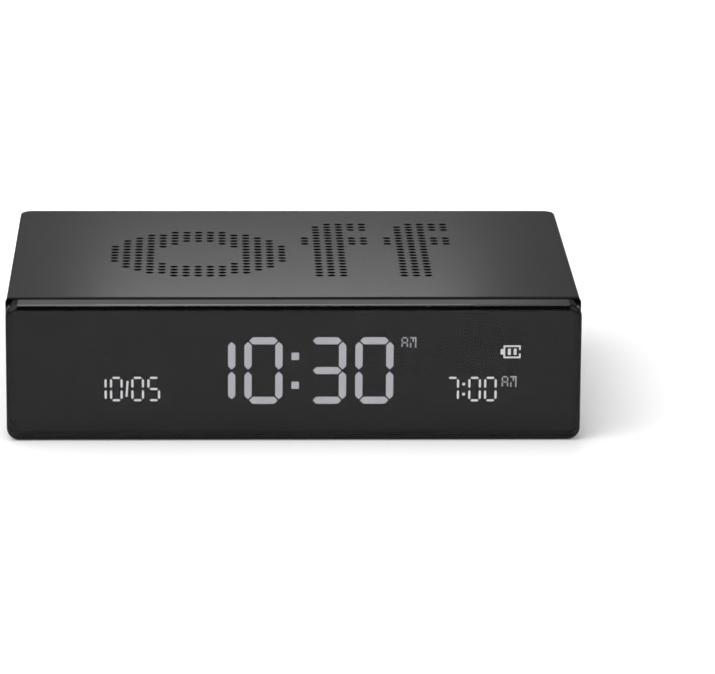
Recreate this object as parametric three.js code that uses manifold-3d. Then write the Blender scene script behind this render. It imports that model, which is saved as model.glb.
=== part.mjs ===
// Digital alarm clock that is turned over to switch its alarm on or off.
// Millimetres. +X is to the right, +Y to the back and +Z up. The origin is the centre of the underside.

import * as THREE from 'three';
import { mergeVertices } from 'three/addons/utils/BufferGeometryUtils.js';
import Module from 'manifold-3d';

const wasm = await Module();
wasm.setup();

// Case
const caseWidth = 130;
const caseDepth = 93;
const caseHeight = 31.6;
const caseWall = 2.2;
const plateThickness = 1.8;
const backCornerRadius = 3;
const innerCornerRadius = 0.8;
const lipHeight = 1.2;
const lipWidth = 1;
const lipSetback = 2.5;

// Clearances
const seam = 0.2;           // between fixed pieces that meet
const slip = 0.3;           // round a piece that drops or slides into another
const filmGap = 0.1;        // behind a glued film or sheet
const overrun = 1;          // how far a cutter passes the face that it cuts

// Front lens and the black frame behind it
const lensDepth = 6.2;
const lensWall = 2;
const lensRim = 1.8;
const lensCornerRadius = 2.8;
const lensEdgeRadius = 1.3;
const grooveWidth = 1.6;
const bezelSink = 0.3;
const bezelProud = 0.2;
const bezelCornerRadius = 0.6;
const bezelWall = 1.2;

// Display
const displayMarginLeft = 19.4;
const displayMarginRight = 10.6;
const displayMarginHigh = 5.8;
const polariserThickness = 0.25;
const glassThickness = 0.7;
const diffuserThickness = 0.3;
const guideThickness = 1.6;
const reflectorThickness = 0.25;
const ledStripThickness = 1.2;
const flexWidth = 16;
const flexThickness = 0.3;
const flexShare = 0.43;      // of the rise from the foot of the display to the connector
const flexSlotRoom = 0.6;
const connectorLength = 3;
const connectorHeight = 1.5;

// Perforation: round holes on a square grid
const dotPitch = 2.8;
const dotDiameter = 1.5;
const dotSides = 6;
const topWordShiftX = -2.1;
const wordShiftY = 2.66;
const meshThickness = 0.3;
const meshMargin = 4;

// Rear panel, keys and charging socket
const panelSideMargin = 15;
const panelHighMargin = 6.3;
const panelCornerRadius = 1.2;
const panelInset = 0.8;
const panelFlange = 1.2;
const panelLap = 1.5;
const keyWidth = 9;
const keyHeight = 4.4;
const keyProud = 0.5;
const keyFlange = 0.8;
const keyLap = 0.7;
const keyTravel = 0.4;
const keyShares = [0.4, 0.72];
const switchWidth = 6.2;
const switchDepth = 3.4;
const switchHeight = 3.2;
const switchStandoff = 0.9;
const plungerRadius = 0.8;
const plungerDepth = 1;
const usbWidth = 8.94;
const usbHeight = 3.26;
const usbLength = 7.35;
const usbWall = 0.3;
const usbTongueWidth = 6.7;
const usbTongueThickness = 0.7;
const usbTongueLength = 4.4;
const usbBackWall = 0.8;

// Shelf in the front half, main board in the rear half
const shelfDepth = 38;
const shelfThickness = 1.8;
const boardGap = 1.2;
const boardThickness = 1.6;
const ledgeWidth = 7;
const ledgeDepth = 8;
const ledgeInset = 6;
const bossSize = 5.6;
const bossLength = 9;

// Screws
const screwRadius = 1;
const screwHeadRadius = 1.7;
const screwHeadHeight = 1.3;
const screwLength = 7;
const screwMargin = 0.9;
const screwRecess = 0.6;
const bezelScrewLow = 2.3;

// Speaker
const speakerRadius = 17;
const speakerFlange = 0.9;
const speakerDepth = 7;
const speakerWall = 0.9;
const speakerHoleRadius = 15;
const speakerMargin = 8;
const speakerRunGap = 0.6;
const gasketThickness = 0.8;
const magnetRadius = 8.2;
const magnetHeight = 4;
const conePaper = 0.5;
const coneRise = 3.6;
const coneCapRadius = 4.5;
const coneDrop = 0.9;

// Battery
const batteryWidth = 50;
const batteryDepth = 32;
const batteryHeight = 7;
const batteryMargin = 8;
const tapeThickness = 0.5;
const tapeInset = 3;
const leadRadius = 0.6;
const leadPitch = 2;
const leadHump = 0.8;
const leadStraight = 0.8;
const padInset = 3;
const plugWidth = 6;
const plugDepth = 4.5;
const plugHeight = 3.4;

// Tilt switch
const ballRadius = 2;
const ballTravel = 2;
const cageWall = 1;
const cageFloor = 0.8;
const cageX = -40;

// Chips on the board
const clockChipSize = 10;
const clockChipX = -14;
const chargeChipSize = 5;
const chargeChipX = 14;
const chipHeight = 1.1;
const crystalRadius = 1.1;
const crystalLength = 6.5;
const crystalX = -3;

// Touch electrode under the top plate
const foilThickness = 0.25;
const foilWidth = 90;
const foilDepth = 3.8;
const foilTail = 1.6;
const foilTailInset = 1.6;
const foilLanding = 3;

// Facets of round pieces. A curve's steps are half the facets that its arc gets.
const cornerSteps = 3;
const edgeSteps = 3;
const leadArcSteps = 3;
const leadSteps = 7;
const roundSides = 12;
const speakerSides = 20;
const driveSides = 6;

// Planes that the sizes above give
const halfWidth = caseWidth / 2;
const caseFront = -caseDepth / 2;
const caseBack = caseDepth / 2;
const midHeight = caseHeight / 2;
const lensBack = caseFront + lensDepth;
const bodyFront = lensBack + grooveWidth;
const plateTop = plateThickness;
const upperPlateBottom = caseHeight - plateThickness;
const frameBottom = plateTop + seam;
const frameTop = upperPlateBottom - seam;
const innerHalfWidth = halfWidth - caseWall;
const innerBack = caseBack - caseWall;
const boardTop = midHeight - usbHeight / 2 - filmGap;
const boardBottom = boardTop - boardThickness;
const onBoard = boardTop + filmGap;

const finishes = {
  smokedLens: { color: 0x17181b, roughness: 0.06, metalness: 0 },
  blackFrame: { color: 0x0b0b0c, roughness: 0.5, metalness: 0 },
  satinPlate: { color: 0x3f4042, roughness: 0.42, metalness: 0 },
  satinBody: { color: 0x2b2c2e, roughness: 0.48, metalness: 0 },
  blackCloth: { color: 0x090909, roughness: 0.9, metalness: 0 },
  glass: { color: 0x20242a, roughness: 0.05, metalness: 0 },
  film: { color: 0x2a2a30, roughness: 0.3, metalness: 0 },
  whitePlastic: { color: 0xe4e4e0, roughness: 0.5, metalness: 0 },
  copperFoil: { color: 0xb87340, roughness: 0.35, metalness: 1 },
  amberFlex: { color: 0xb06a1c, roughness: 0.45, metalness: 0 },
  greenBoard: { color: 0x14502e, roughness: 0.5, metalness: 0 },
  chipBlack: { color: 0x141416, roughness: 0.6, metalness: 0 },
  steel: { color: 0xb4b6b8, roughness: 0.3, metalness: 1 },
  keyRubber: { color: 0x1d1d1f, roughness: 0.65, metalness: 0 },
  cell: { color: 0xa9adb1, roughness: 0.35, metalness: 0.6 },
  tape: { color: 0xd9d6cc, roughness: 0.8, metalness: 0 },
  redLead: { color: 0xa81414, roughness: 0.5, metalness: 0 },
  blackLead: { color: 0x101010, roughness: 0.5, metalness: 0 },
  conePaper: { color: 0x26241f, roughness: 0.85, metalness: 0 },
  foam: { color: 0x1a1a1a, roughness: 0.95, metalness: 0 },
  magnet: { color: 0x55585c, roughness: 0.4, metalness: 0.8 },
};

const materials = {};
for (const [name, finish] of Object.entries(finishes)) {
  materials[name] = new THREE.MeshStandardMaterial(finish);
}

const clock = new THREE.Group();
clock.name = 'alarm_clock';

function addPart(name, geometry, material, x = 0, y = 0, z = 0) {
  const mesh = new THREE.Mesh(geometry, material);
  mesh.name = name;
  mesh.position.set(x, y, z);
  clock.add(mesh);
  return mesh;
}

// Booleans
function toSolid(geometry) {
  const bare = geometry.clone();
  bare.deleteAttribute('normal');
  bare.deleteAttribute('uv');
  const welded = mergeVertices(bare);
  return new wasm.Manifold(new wasm.Mesh({
    numProp: 3,
    vertProperties: new Float32Array(welded.attributes.position.array),
    triVerts: new Uint32Array(welded.index.array),
  }));
}

function toGeometry(solid) {
  const mesh = solid.getMesh();
  const geometry = new THREE.BufferGeometry();
  geometry.setAttribute('position', new THREE.BufferAttribute(new Float32Array(mesh.vertProperties), 3));
  geometry.setIndex(new THREE.BufferAttribute(new Uint32Array(mesh.triVerts), 1));
  geometry.computeVertexNormals();
  return geometry;
}

function combine(joined, cutters = []) {
  let solid = toSolid(joined[0]);
  for (const piece of joined.slice(1)) {
    solid = solid.add(toSolid(piece));
  }
  for (const cutter of cutters) {
    solid = solid.subtract(toSolid(cutter));
  }
  return toGeometry(solid);
}

// Plain shapes
function block(x0, x1, y0, y1, z0, z1) {
  const geometry = new THREE.BoxGeometry(x1 - x0, y1 - y0, z1 - z0);
  geometry.translate((x0 + x1) / 2, (y0 + y1) / 2, (z0 + z1) / 2);
  return geometry;
}

function extrudeUp(shape, z0, z1, steps = cornerSteps) {
  const options = { depth: z1 - z0, bevelEnabled: false, curveSegments: steps };
  const geometry = new THREE.ExtrudeGeometry(shape, options);
  geometry.translate(0, 0, z0);
  return geometry;
}

function extrudeBack(shape, y0, y1, centreX = 0, centreZ = 0) {
  const options = { depth: y1 - y0, bevelEnabled: false, curveSegments: cornerSteps };
  const geometry = new THREE.ExtrudeGeometry(shape, options);
  geometry.rotateX(Math.PI / 2);
  geometry.translate(centreX, y1, centreZ);
  return geometry;
}

function roundedRectangle(width, height, radius) {
  const x = width / 2 - radius;
  const y = height / 2 - radius;
  const shape = new THREE.Shape();
  shape.absarc(x, y, radius, 0, Math.PI / 2);
  shape.absarc(-x, y, radius, Math.PI / 2, Math.PI);
  shape.absarc(-x, -y, radius, Math.PI, 1.5 * Math.PI);
  shape.absarc(x, -y, radius, 1.5 * Math.PI, 2 * Math.PI);
  return shape;
}

function pill(width, height) {
  const radius = height / 2;
  const x = width / 2 - radius;
  const shape = new THREE.Shape();
  shape.absarc(x, 0, radius, -Math.PI / 2, Math.PI / 2);
  shape.absarc(-x, 0, radius, Math.PI / 2, 1.5 * Math.PI);
  return shape;
}

function uprightCylinder(radius, z0, z1, x = 0, y = 0, sides = roundSides) {
  const geometry = new THREE.CylinderGeometry(radius, radius, z1 - z0, sides);
  geometry.rotateX(Math.PI / 2);
  geometry.translate(x, y, (z0 + z1) / 2);
  return geometry;
}

function lyingCylinder(radius, y0, y1, x, z) {
  const geometry = new THREE.CylinderGeometry(radius, radius, y1 - y0, roundSides);
  geometry.translate(x, (y0 + y1) / 2, z);
  return geometry;
}

function turned(points, sides) {
  const profile = points.map(([radius, height]) => new THREE.Vector2(radius, height));
  profile.push(profile[0].clone());
  const geometry = new THREE.LatheGeometry(profile, sides);
  geometry.rotateX(Math.PI / 2);
  return geometry;
}

function lead(points) {
  const section = new THREE.Shape();
  section.absarc(0, 0, leadRadius, 0, 2 * Math.PI);
  const path = new THREE.CatmullRomCurve3(points.map((point) => new THREE.Vector3(...point)));
  return new THREE.ExtrudeGeometry(section, {
    steps: leadSteps,
    curveSegments: leadArcSteps,
    extrudePath: path,
  });
}

// Plan outline of the body behind the lens: square at the front, rounded at the back
function bodyOutline(inset, front) {
  const side = halfWidth - inset;
  const back = caseBack - inset;
  const radius = Math.max(backCornerRadius - inset, innerCornerRadius);
  const shape = new THREE.Shape();
  shape.moveTo(-side, front);
  shape.lineTo(side, front);
  shape.absarc(side - radius, back - radius, radius, 0, Math.PI / 2);
  shape.absarc(-side + radius, back - radius, radius, Math.PI / 2, Math.PI);
  shape.lineTo(-side, front);
  return shape;
}

// Front lens: a clear cap, open at the back
const pocketWidth = caseWidth - 2 * lensRim;
const pocketHeight = caseHeight - 2 * lensRim;
const pocketRadius = Math.max(lensCornerRadius - lensRim, innerCornerRadius);
const pocketFront = caseFront + lensWall;

function frontLens() {
  const outline = roundedRectangle(caseWidth, caseHeight, lensCornerRadius);
  const blank = new THREE.ExtrudeGeometry(outline, {
    depth: lensDepth - lensEdgeRadius + overrun,
    bevelThickness: lensEdgeRadius,
    bevelSize: lensEdgeRadius,
    bevelOffset: -lensEdgeRadius,
    bevelSegments: edgeSteps,
    curveSegments: cornerSteps,
  });
  blank.rotateX(Math.PI / 2);
  blank.translate(0, lensBack + overrun, midHeight);
  const cutEnd = lensBack + overrun + lensEdgeRadius + overrun;
  const behind = block(-caseWidth, caseWidth, lensBack, cutEnd, -overrun, caseHeight + overrun);
  const pocketShape = roundedRectangle(pocketWidth, pocketHeight, pocketRadius);
  const pocket = extrudeBack(pocketShape, pocketFront, lensBack + overrun, 0, midHeight);
  return combine([blank], [behind, pocket]);
}

addPart('front_lens', frontLens(), materials.smokedLens);

// Display stack, from the lens backwards, standing in the tray of the bezel
const glassLeft = -halfWidth + displayMarginLeft;
const glassRight = halfWidth - displayMarginRight;
const glassBottom = displayMarginHigh;
const glassTop = caseHeight - displayMarginHigh;
const displayCentre = (glassLeft + glassRight) / 2;
const bezelFront = pocketFront + seam;
let sheetFront = bezelFront;
let guideFront = bezelFront;

const sheets = [
  ['front_polariser', polariserThickness, materials.film],
  ['lcd_front_glass', glassThickness, materials.glass],
  ['lcd_rear_glass', glassThickness, materials.glass],
  ['rear_polariser', polariserThickness, materials.film],
  ['diffuser_sheet', diffuserThickness, materials.whitePlastic],
  ['light_guide', guideThickness, materials.whitePlastic],
  ['reflector_sheet', reflectorThickness, materials.whitePlastic],
];

for (const [name, thickness, material] of sheets) {
  const sheetBack = sheetFront + thickness;
  addPart(name, block(glassLeft, glassRight, sheetFront, sheetBack, glassBottom, glassTop), material);
  if (name === 'light_guide') {
    guideFront = sheetFront;
  }
  sheetFront = sheetBack + filmGap;
}

const stripRight = glassLeft - filmGap;
const stripLeft = stripRight - ledStripThickness;
const guideBack = guideFront + guideThickness;
const ledStrip = block(stripLeft, stripRight, guideFront, guideBack, glassBottom, glassTop);
addPart('backlight_board', ledStrip, materials.whitePlastic);

// Bezel: flange in the groove, rim inside the lens and a tray for the display
const trayLeft = stripLeft - slip;
const trayRight = glassRight + slip;
const trayBottom = glassBottom - slip;
const trayTop = glassTop + slip;
const trayFloorFront = sheetFront;
const trayFloorBack = trayFloorFront + bezelWall;
const rimHalfWidth = pocketWidth / 2 - slip;
const rimInnerHalfWidth = rimHalfWidth - bezelWall;
const rimInnerHalfHeight = pocketHeight / 2 - slip - bezelWall;
const flangeFront = lensBack + seam;
const flangeBack = bodyFront - seam;
const bezelScrewX = rimInnerHalfWidth - screwHeadRadius - screwMargin;
const bezelScrewRise = rimInnerHalfHeight - screwHeadRadius - bezelScrewLow;
const connectorTop = boardBottom - filmGap;
const connectorBottom = connectorTop - connectorHeight;
const flexHeight = glassBottom + flexShare * (connectorBottom - glassBottom);
const flexSlotBottom = flexHeight - flexSlotRoom;
const flexSlotTop = flexHeight + flexThickness + flexSlotRoom;

function displayBezel() {
  const flangeShape = roundedRectangle(
    caseWidth + 2 * bezelProud,
    caseHeight - 2 * bezelSink,
    bezelCornerRadius,
  );
  const rimShape = roundedRectangle(2 * rimHalfWidth, pocketHeight - 2 * slip, pocketRadius);
  const rimInside = roundedRectangle(2 * rimInnerHalfWidth, 2 * rimInnerHalfHeight, innerCornerRadius);
  const rim = combine(
    [extrudeBack(rimShape, bezelFront, flangeBack, 0, midHeight)],
    [extrudeBack(rimInside, bezelFront - overrun, flangeFront, 0, midHeight)],
  );
  const tray = block(
    trayLeft - bezelWall,
    trayRight + bezelWall,
    bezelFront,
    trayFloorBack,
    trayBottom - bezelWall,
    trayTop + bezelWall,
  );
  const trayPocket = block(trayLeft, trayRight, bezelFront - overrun, trayFloorFront, trayBottom, trayTop);
  const flexSlot = block(
    displayCentre - flexWidth / 2 - flexSlotRoom,
    displayCentre + flexWidth / 2 + flexSlotRoom,
    trayFloorFront - overrun,
    trayFloorBack + overrun,
    flexSlotBottom,
    flexSlotTop,
  );
  const holes = [];
  for (const sideX of [-bezelScrewX, bezelScrewX]) {
    for (const rise of [-bezelScrewRise, bezelScrewRise]) {
      const start = flangeFront - overrun;
      holes.push(lyingCylinder(screwRadius + slip, start, flangeBack + overrun, sideX, midHeight + rise));
    }
  }
  const flange = extrudeBack(flangeShape, flangeFront, flangeBack, 0, midHeight);
  return combine([flange, rim, tray], [trayPocket, flexSlot, ...holes]);
}

addPart('display_bezel', displayBezel(), materials.blackFrame);

// Levels and places in the body
const shelfFront = trayFloorBack + slip;
const shelfBack = shelfFront + shelfDepth;
const shelfTop = boardTop;
const shelfBottom = shelfTop - shelfThickness;
const panelOuter = caseBack - panelInset;
const panelFlangeBack = innerBack - seam;
const panelInner = panelFlangeBack - panelFlange;
const keyFlangeBack = panelInner - seam;
const keyFlangeFront = keyFlangeBack - keyFlange;
const switchBack = keyFlangeFront - keyTravel - switchStandoff;
const boardFront = shelfBack + boardGap;
const boardBack = switchBack - seam;
const boardHalfWidth = innerHalfWidth - slip;
const boardMid = (boardFront + boardBack) / 2;
const boardScrewX = boardHalfWidth - ledgeWidth / 2;
const boardScrewYs = [boardFront + ledgeInset, boardBack - ledgeInset];
const panelHalfWidth = halfWidth - panelSideMargin;
const panelHeight = caseHeight - 2 * panelHighMargin;
const speakerX = -innerHalfWidth + speakerMargin + speakerRadius;
const speakerY = (shelfFront + shelfBack) / 2;

// Frame: side and back walls in one band, with the shelf, the board's ledges and the bezel's bosses
function midFrame() {
  const outside = bodyOutline(0, bodyFront);
  const inside = bodyOutline(caseWall, bodyFront - overrun);
  const walls = combine(
    [extrudeUp(outside, frameBottom, frameTop)],
    [extrudeUp(inside, frameBottom - overrun, frameTop + overrun)],
  );
  const wallMiddle = innerHalfWidth + caseWall / 2;
  const shelf = block(-wallMiddle, wallMiddle, shelfFront, shelfBack, shelfBottom, shelfTop);
  const added = [];
  const cut = [];
  for (const side of [-1, 1]) {
    const wallX = side * wallMiddle;
    const bossX = side * (bezelScrewX - bossSize / 2);
    for (const rise of [-bezelScrewRise, bezelScrewRise]) {
      const z = midHeight + rise;
      const left = Math.min(wallX, bossX);
      const right = Math.max(wallX, bossX);
      added.push(block(left, right, bodyFront, bodyFront + bossLength, z - bossSize / 2, z + bossSize / 2));
      const pilotEnd = flangeFront + screwLength + slip;
      cut.push(lyingCylinder(screwRadius + slip, bodyFront - overrun, pilotEnd, side * bezelScrewX, z));
    }
    const ledgeX = side * (innerHalfWidth - ledgeWidth);
    for (const y of boardScrewYs) {
      const left = Math.min(wallX, ledgeX);
      const right = Math.max(wallX, ledgeX);
      const ledgeTop = boardBottom - seam;
      const ledgeBottom = plateTop + lipHeight + slip;
      added.push(block(left, right, y - ledgeDepth / 2, y + ledgeDepth / 2, ledgeBottom, ledgeTop));
      const pilotEnd = onBoard - screwLength - slip;
      cut.push(uprightCylinder(screwRadius + slip, pilotEnd, ledgeTop + overrun, side * boardScrewX, y));
    }
  }
  const speakerHole = uprightCylinder(
    speakerHoleRadius,
    shelfBottom - overrun,
    shelfTop + overrun,
    speakerX,
    speakerY,
    speakerSides,
  );
  const windowShape = roundedRectangle(
    2 * panelHalfWidth + 2 * seam,
    panelHeight + 2 * seam,
    panelCornerRadius,
  );
  const window = extrudeBack(windowShape, innerBack - overrun, caseBack + overrun, 0, midHeight);
  return combine([walls, shelf, ...added], [speakerHole, window, ...cut]);
}

addPart('mid_frame', midFrame(), materials.satinBody);

// Perforated plates. A letter is a list of columns, and a column is a list of first and last dots,
// counted from the front.
const letterO = [
  [[5, 10]],
  [[3, 12]],
  [[2, 13]],
  [[1, 14]],
  [[1, 4], [10, 14]],
  [[0, 3], [11, 15]],
  [[0, 3], [12, 15]],
  [[0, 3], [12, 15]],
  [[0, 3], [12, 15]],
  [[0, 3], [11, 15]],
  [[1, 4], [10, 14]],
  [[1, 14]],
  [[2, 13]],
  [[3, 12]],
  [[5, 10]],
];
const letterF = [
  [[11, 13]],
  [[0, 17]],
  [[0, 18]],
  [[0, 18]],
  [[11, 13], [16, 18]],
  [[11, 13], [16, 18]],
];
const letterN = [
  [[0, 11]],
  [[0, 11]],
  [[0, 11]],
  [[8, 10]],
  [[9, 11]],
  [[9, 11]],
  [[8, 11]],
  [[0, 11]],
  [[0, 10]],
  [[0, 9]],
];
const blankColumn = [];
const topWord = [...letterO, blankColumn, ...letterF, blankColumn, ...letterF];
const bottomWord = [...letterO, blankColumn, ...letterN];
const dotRows = 19;
const bodyMid = (bodyFront + caseBack) / 2;
const wordY = bodyMid + wordShiftY;

function dotPlaces(word, centreX, direction) {
  const places = [];
  word.forEach((column, columnIndex) => {
    const x = centreX + direction * (columnIndex - (word.length - 1) / 2) * dotPitch;
    for (const [first, last] of column) {
      for (let row = first; row <= last; row += 1) {
        places.push([x, wordY + (row - (dotRows - 1) / 2) * dotPitch]);
      }
    }
  });
  return places;
}

function perforatedPlate(z0, z1, lipZ0, lipZ1, places) {
  const shape = bodyOutline(0, bodyFront);
  for (const [x, y] of places) {
    const hole = new THREE.Path();
    for (let side = 0; side < dotSides; side += 1) {
      const angle = (2 * Math.PI * side) / dotSides;
      const px = x + (dotDiameter / 2) * Math.cos(angle);
      const py = y + (dotDiameter / 2) * Math.sin(angle);
      if (side === 0) {
        hole.moveTo(px, py);
      } else {
        hole.lineTo(px, py);
      }
    }
    shape.holes.push(hole);
  }
  const sheet = extrudeUp(shape, z0, z1);
  const lipOutside = bodyOutline(caseWall + slip, bodyFront + lipSetback);
  const lipInside = bodyOutline(caseWall + slip + lipWidth, bodyFront + lipSetback + lipWidth);
  const lip = combine(
    [extrudeUp(lipOutside, lipZ0, lipZ1)],
    [extrudeUp(lipInside, lipZ0 - overrun, lipZ1 + overrun)],
  );
  return combine([sheet, lip]);
}

const plateMiddle = plateThickness / 2;
const topPlate = perforatedPlate(
  upperPlateBottom,
  caseHeight,
  upperPlateBottom - lipHeight,
  upperPlateBottom + plateMiddle,
  dotPlaces(topWord, topWordShiftX, 1),
);
const bottomPlate = perforatedPlate(
  0,
  plateTop,
  plateMiddle,
  plateTop + lipHeight,
  dotPlaces(bottomWord, 0, -1),
);
addPart('top_plate', topPlate, materials.satinPlate);
addPart('bottom_plate', bottomPlate, materials.satinPlate);

// Dust cloths behind the holes
const upperMeshBottom = upperPlateBottom - filmGap - meshThickness;
const meshFront = wordY - ((dotRows - 1) / 2) * dotPitch - meshMargin;

function dustMesh(word, centreX, z0) {
  const reachX = ((word.length - 1) / 2) * dotPitch + meshMargin;
  const meshBack = 2 * wordY - meshFront;
  return block(centreX - reachX, centreX + reachX, meshFront, meshBack, z0, z0 + meshThickness);
}

addPart('upper_dust_mesh', dustMesh(topWord, topWordShiftX, upperMeshBottom), materials.blackCloth);
addPart('lower_dust_mesh', dustMesh(bottomWord, 0, plateTop + filmGap), materials.blackCloth);

// Touch electrode: a strip under the front of the top plate, whose tail runs back and down to the board
const foilTop = upperPlateBottom - filmGap;
const foilBottom = foilTop - foilThickness;
const foilFront = bodyFront + lipSetback + lipWidth + slip;
const tailRight = innerHalfWidth - slip - lipWidth - slip;
const tailLeft = tailRight - foilTail;
const tailBack = boardFront + foilLanding;
const touchFoil = combine([
  block(-foilWidth / 2, foilWidth / 2, foilFront, foilFront + foilDepth, foilBottom, foilTop),
  block(0, tailRight, foilFront + foilDepth - foilTailInset, foilFront + foilDepth, foilBottom, foilTop),
  block(tailLeft, tailRight, foilFront + foilDepth - foilTailInset, tailBack, foilBottom, foilTop),
  block(tailLeft, tailRight, tailBack - foilThickness, tailBack, onBoard, foilTop),
]);
addPart('touch_foil', touchFoil, materials.copperFoil);

// Rear panel, held by its flange behind the back wall
const keyZ = onBoard + switchHeight / 2;
const usbZ = onBoard + usbHeight / 2;
const [innerKeyX, outerKeyX] = keyShares.map((share) => share * panelHalfWidth);
const keys = [
  ['time', -outerKeyX],
  ['alarm', -innerKeyX],
  ['minus', innerKeyX],
  ['plus', outerKeyX],
];

function rearPanel() {
  const plateShape = roundedRectangle(2 * panelHalfWidth, panelHeight, panelCornerRadius);
  const flangeShape = roundedRectangle(
    2 * (panelHalfWidth + panelLap),
    panelHeight + 2 * panelLap,
    panelCornerRadius,
  );
  const cutters = keys.map(([, x]) => {
    const hole = pill(keyWidth + 2 * slip, keyHeight + 2 * slip);
    return extrudeBack(hole, panelInner - overrun, panelOuter + overrun, x, keyZ);
  });
  const usbHole = pill(usbWidth + 2 * slip, usbHeight + 2 * slip);
  cutters.push(extrudeBack(usbHole, panelInner - overrun, panelOuter + overrun, 0, usbZ));
  return combine(
    [
      extrudeBack(plateShape, panelInner, panelOuter, 0, midHeight),
      extrudeBack(flangeShape, panelInner, panelFlangeBack, 0, midHeight),
    ],
    cutters,
  );
}

addPart('rear_panel', rearPanel(), materials.satinBody);

// Keys: cap and plunger travel together into a switch on the board
const capShape = pill(keyWidth, keyHeight);
const capFlangeShape = pill(keyWidth + 2 * keyLap, keyHeight + 2 * keyLap);
const capGeometry = combine([
  extrudeBack(capShape, keyFlangeFront, panelOuter + keyProud),
  extrudeBack(capFlangeShape, keyFlangeFront, keyFlangeBack),
]);
const plungerBack = keyFlangeFront - seam;
const plungerFront = switchBack - plungerDepth;
const plungerGeometry = lyingCylinder(plungerRadius, plungerFront, plungerBack, 0, 0);
const switchBore = lyingCylinder(
  plungerRadius + slip,
  plungerFront - keyTravel - slip,
  switchBack + overrun,
  0,
  0,
);
const switchGeometry = combine(
  [
    block(
      -switchWidth / 2,
      switchWidth / 2,
      switchBack - switchDepth,
      switchBack,
      -switchHeight / 2,
      switchHeight / 2,
    ),
  ],
  [switchBore],
);

for (const [name, x] of keys) {
  addPart(`${name}_button`, capGeometry, materials.keyRubber, x, 0, keyZ);
  addPart(`${name}_plunger`, plungerGeometry, materials.blackFrame, x, 0, keyZ);
  addPart(`${name}_switch`, switchGeometry, materials.steel, x, 0, keyZ);
}

// Charging socket
const usbMouth = panelOuter - seam;
const usbBack = usbMouth - usbLength;
const usbInside = pill(usbWidth - 2 * usbWall, usbHeight - 2 * usbWall);
const usbShell = combine(
  [extrudeBack(pill(usbWidth, usbHeight), usbBack, usbMouth, 0, usbZ)],
  [extrudeBack(usbInside, usbBack + usbBackWall, usbMouth + overrun, 0, usbZ)],
);
addPart('usb_shell', usbShell, materials.steel);
const tongueFront = usbBack + usbBackWall + seam;
const usbTongue = block(
  -usbTongueWidth / 2,
  usbTongueWidth / 2,
  tongueFront,
  tongueFront + usbTongueLength,
  usbZ - usbTongueThickness / 2,
  usbZ + usbTongueThickness / 2,
);
addPart('usb_tongue', usbTongue, materials.chipBlack);

// Main board and what is soldered to it
function mainBoard() {
  const holes = [];
  for (const x of [-boardScrewX, boardScrewX]) {
    for (const y of boardScrewYs) {
      holes.push(uprightCylinder(screwRadius + slip, boardBottom - overrun, boardTop + overrun, x, y));
    }
  }
  const sheet = block(-boardHalfWidth, boardHalfWidth, boardFront, boardBack, boardBottom, boardTop);
  return combine([sheet], holes);
}

function chip(size) {
  return block(-size / 2, size / 2, -size / 2, size / 2, 0, chipHeight);
}

addPart('main_board', mainBoard(), materials.greenBoard);
addPart('clock_chip', chip(clockChipSize), materials.chipBlack, clockChipX, boardMid, onBoard);
addPart('charge_chip', chip(chargeChipSize), materials.chipBlack, chargeChipX, boardMid, onBoard);
const crystal = lyingCylinder(crystalRadius, -crystalLength / 2, crystalLength / 2, 0, crystalRadius);
addPart('quartz_crystal', crystal, materials.steel, crystalX, boardMid, onBoard);

// Ribbon from the display tray, under the shelf and up to its connector under the board
const connectorFront = boardFront + padInset;
const flexFront = trayFloorFront + filmGap;
const flexTurn = connectorFront + connectorLength / 2;
const flexEnd = connectorBottom - filmGap;
const flexRun = block(
  displayCentre - flexWidth / 2,
  displayCentre + flexWidth / 2,
  flexFront,
  flexTurn,
  flexHeight,
  flexHeight + flexThickness,
);
const flexRise = block(
  displayCentre - flexWidth / 2,
  displayCentre + flexWidth / 2,
  flexTurn - flexThickness,
  flexTurn,
  flexHeight,
  flexEnd,
);
addPart('lcd_flex', combine([flexRun, flexRise]), materials.amberFlex);
const lcdConnector = block(
  displayCentre - flexWidth / 2,
  displayCentre + flexWidth / 2,
  connectorFront,
  connectorFront + connectorLength,
  connectorBottom,
  connectorTop,
);
addPart('lcd_connector', lcdConnector, materials.whitePlastic);

// Tilt switch: a ball that drops to the other end of its cage when the clock is turned over
const cageHalf = ballRadius + slip + cageWall;
const cageHeight = cageFloor + filmGap + 2 * ballRadius + ballTravel + slip;
const cageBlock = block(-cageHalf, cageHalf, -cageHalf, cageHalf, 0, cageHeight);
const cageBore = uprightCylinder(ballRadius + slip, cageFloor, cageHeight + overrun);
addPart('tilt_cage', combine([cageBlock], [cageBore]), materials.chipBlack, cageX, boardMid, onBoard);
const capZ = cageHeight + filmGap;
const tiltCap = block(-cageHalf, cageHalf, -cageHalf, cageHalf, capZ, capZ + cageFloor);
addPart('tilt_cap', tiltCap, materials.chipBlack, cageX, boardMid, onBoard);
const ball = new THREE.SphereGeometry(ballRadius, roundSides, roundSides / 2);
const ballZ = onBoard + cageFloor + filmGap + ballRadius;
addPart('tilt_ball', ball, materials.steel, cageX, boardMid, ballZ);

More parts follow.
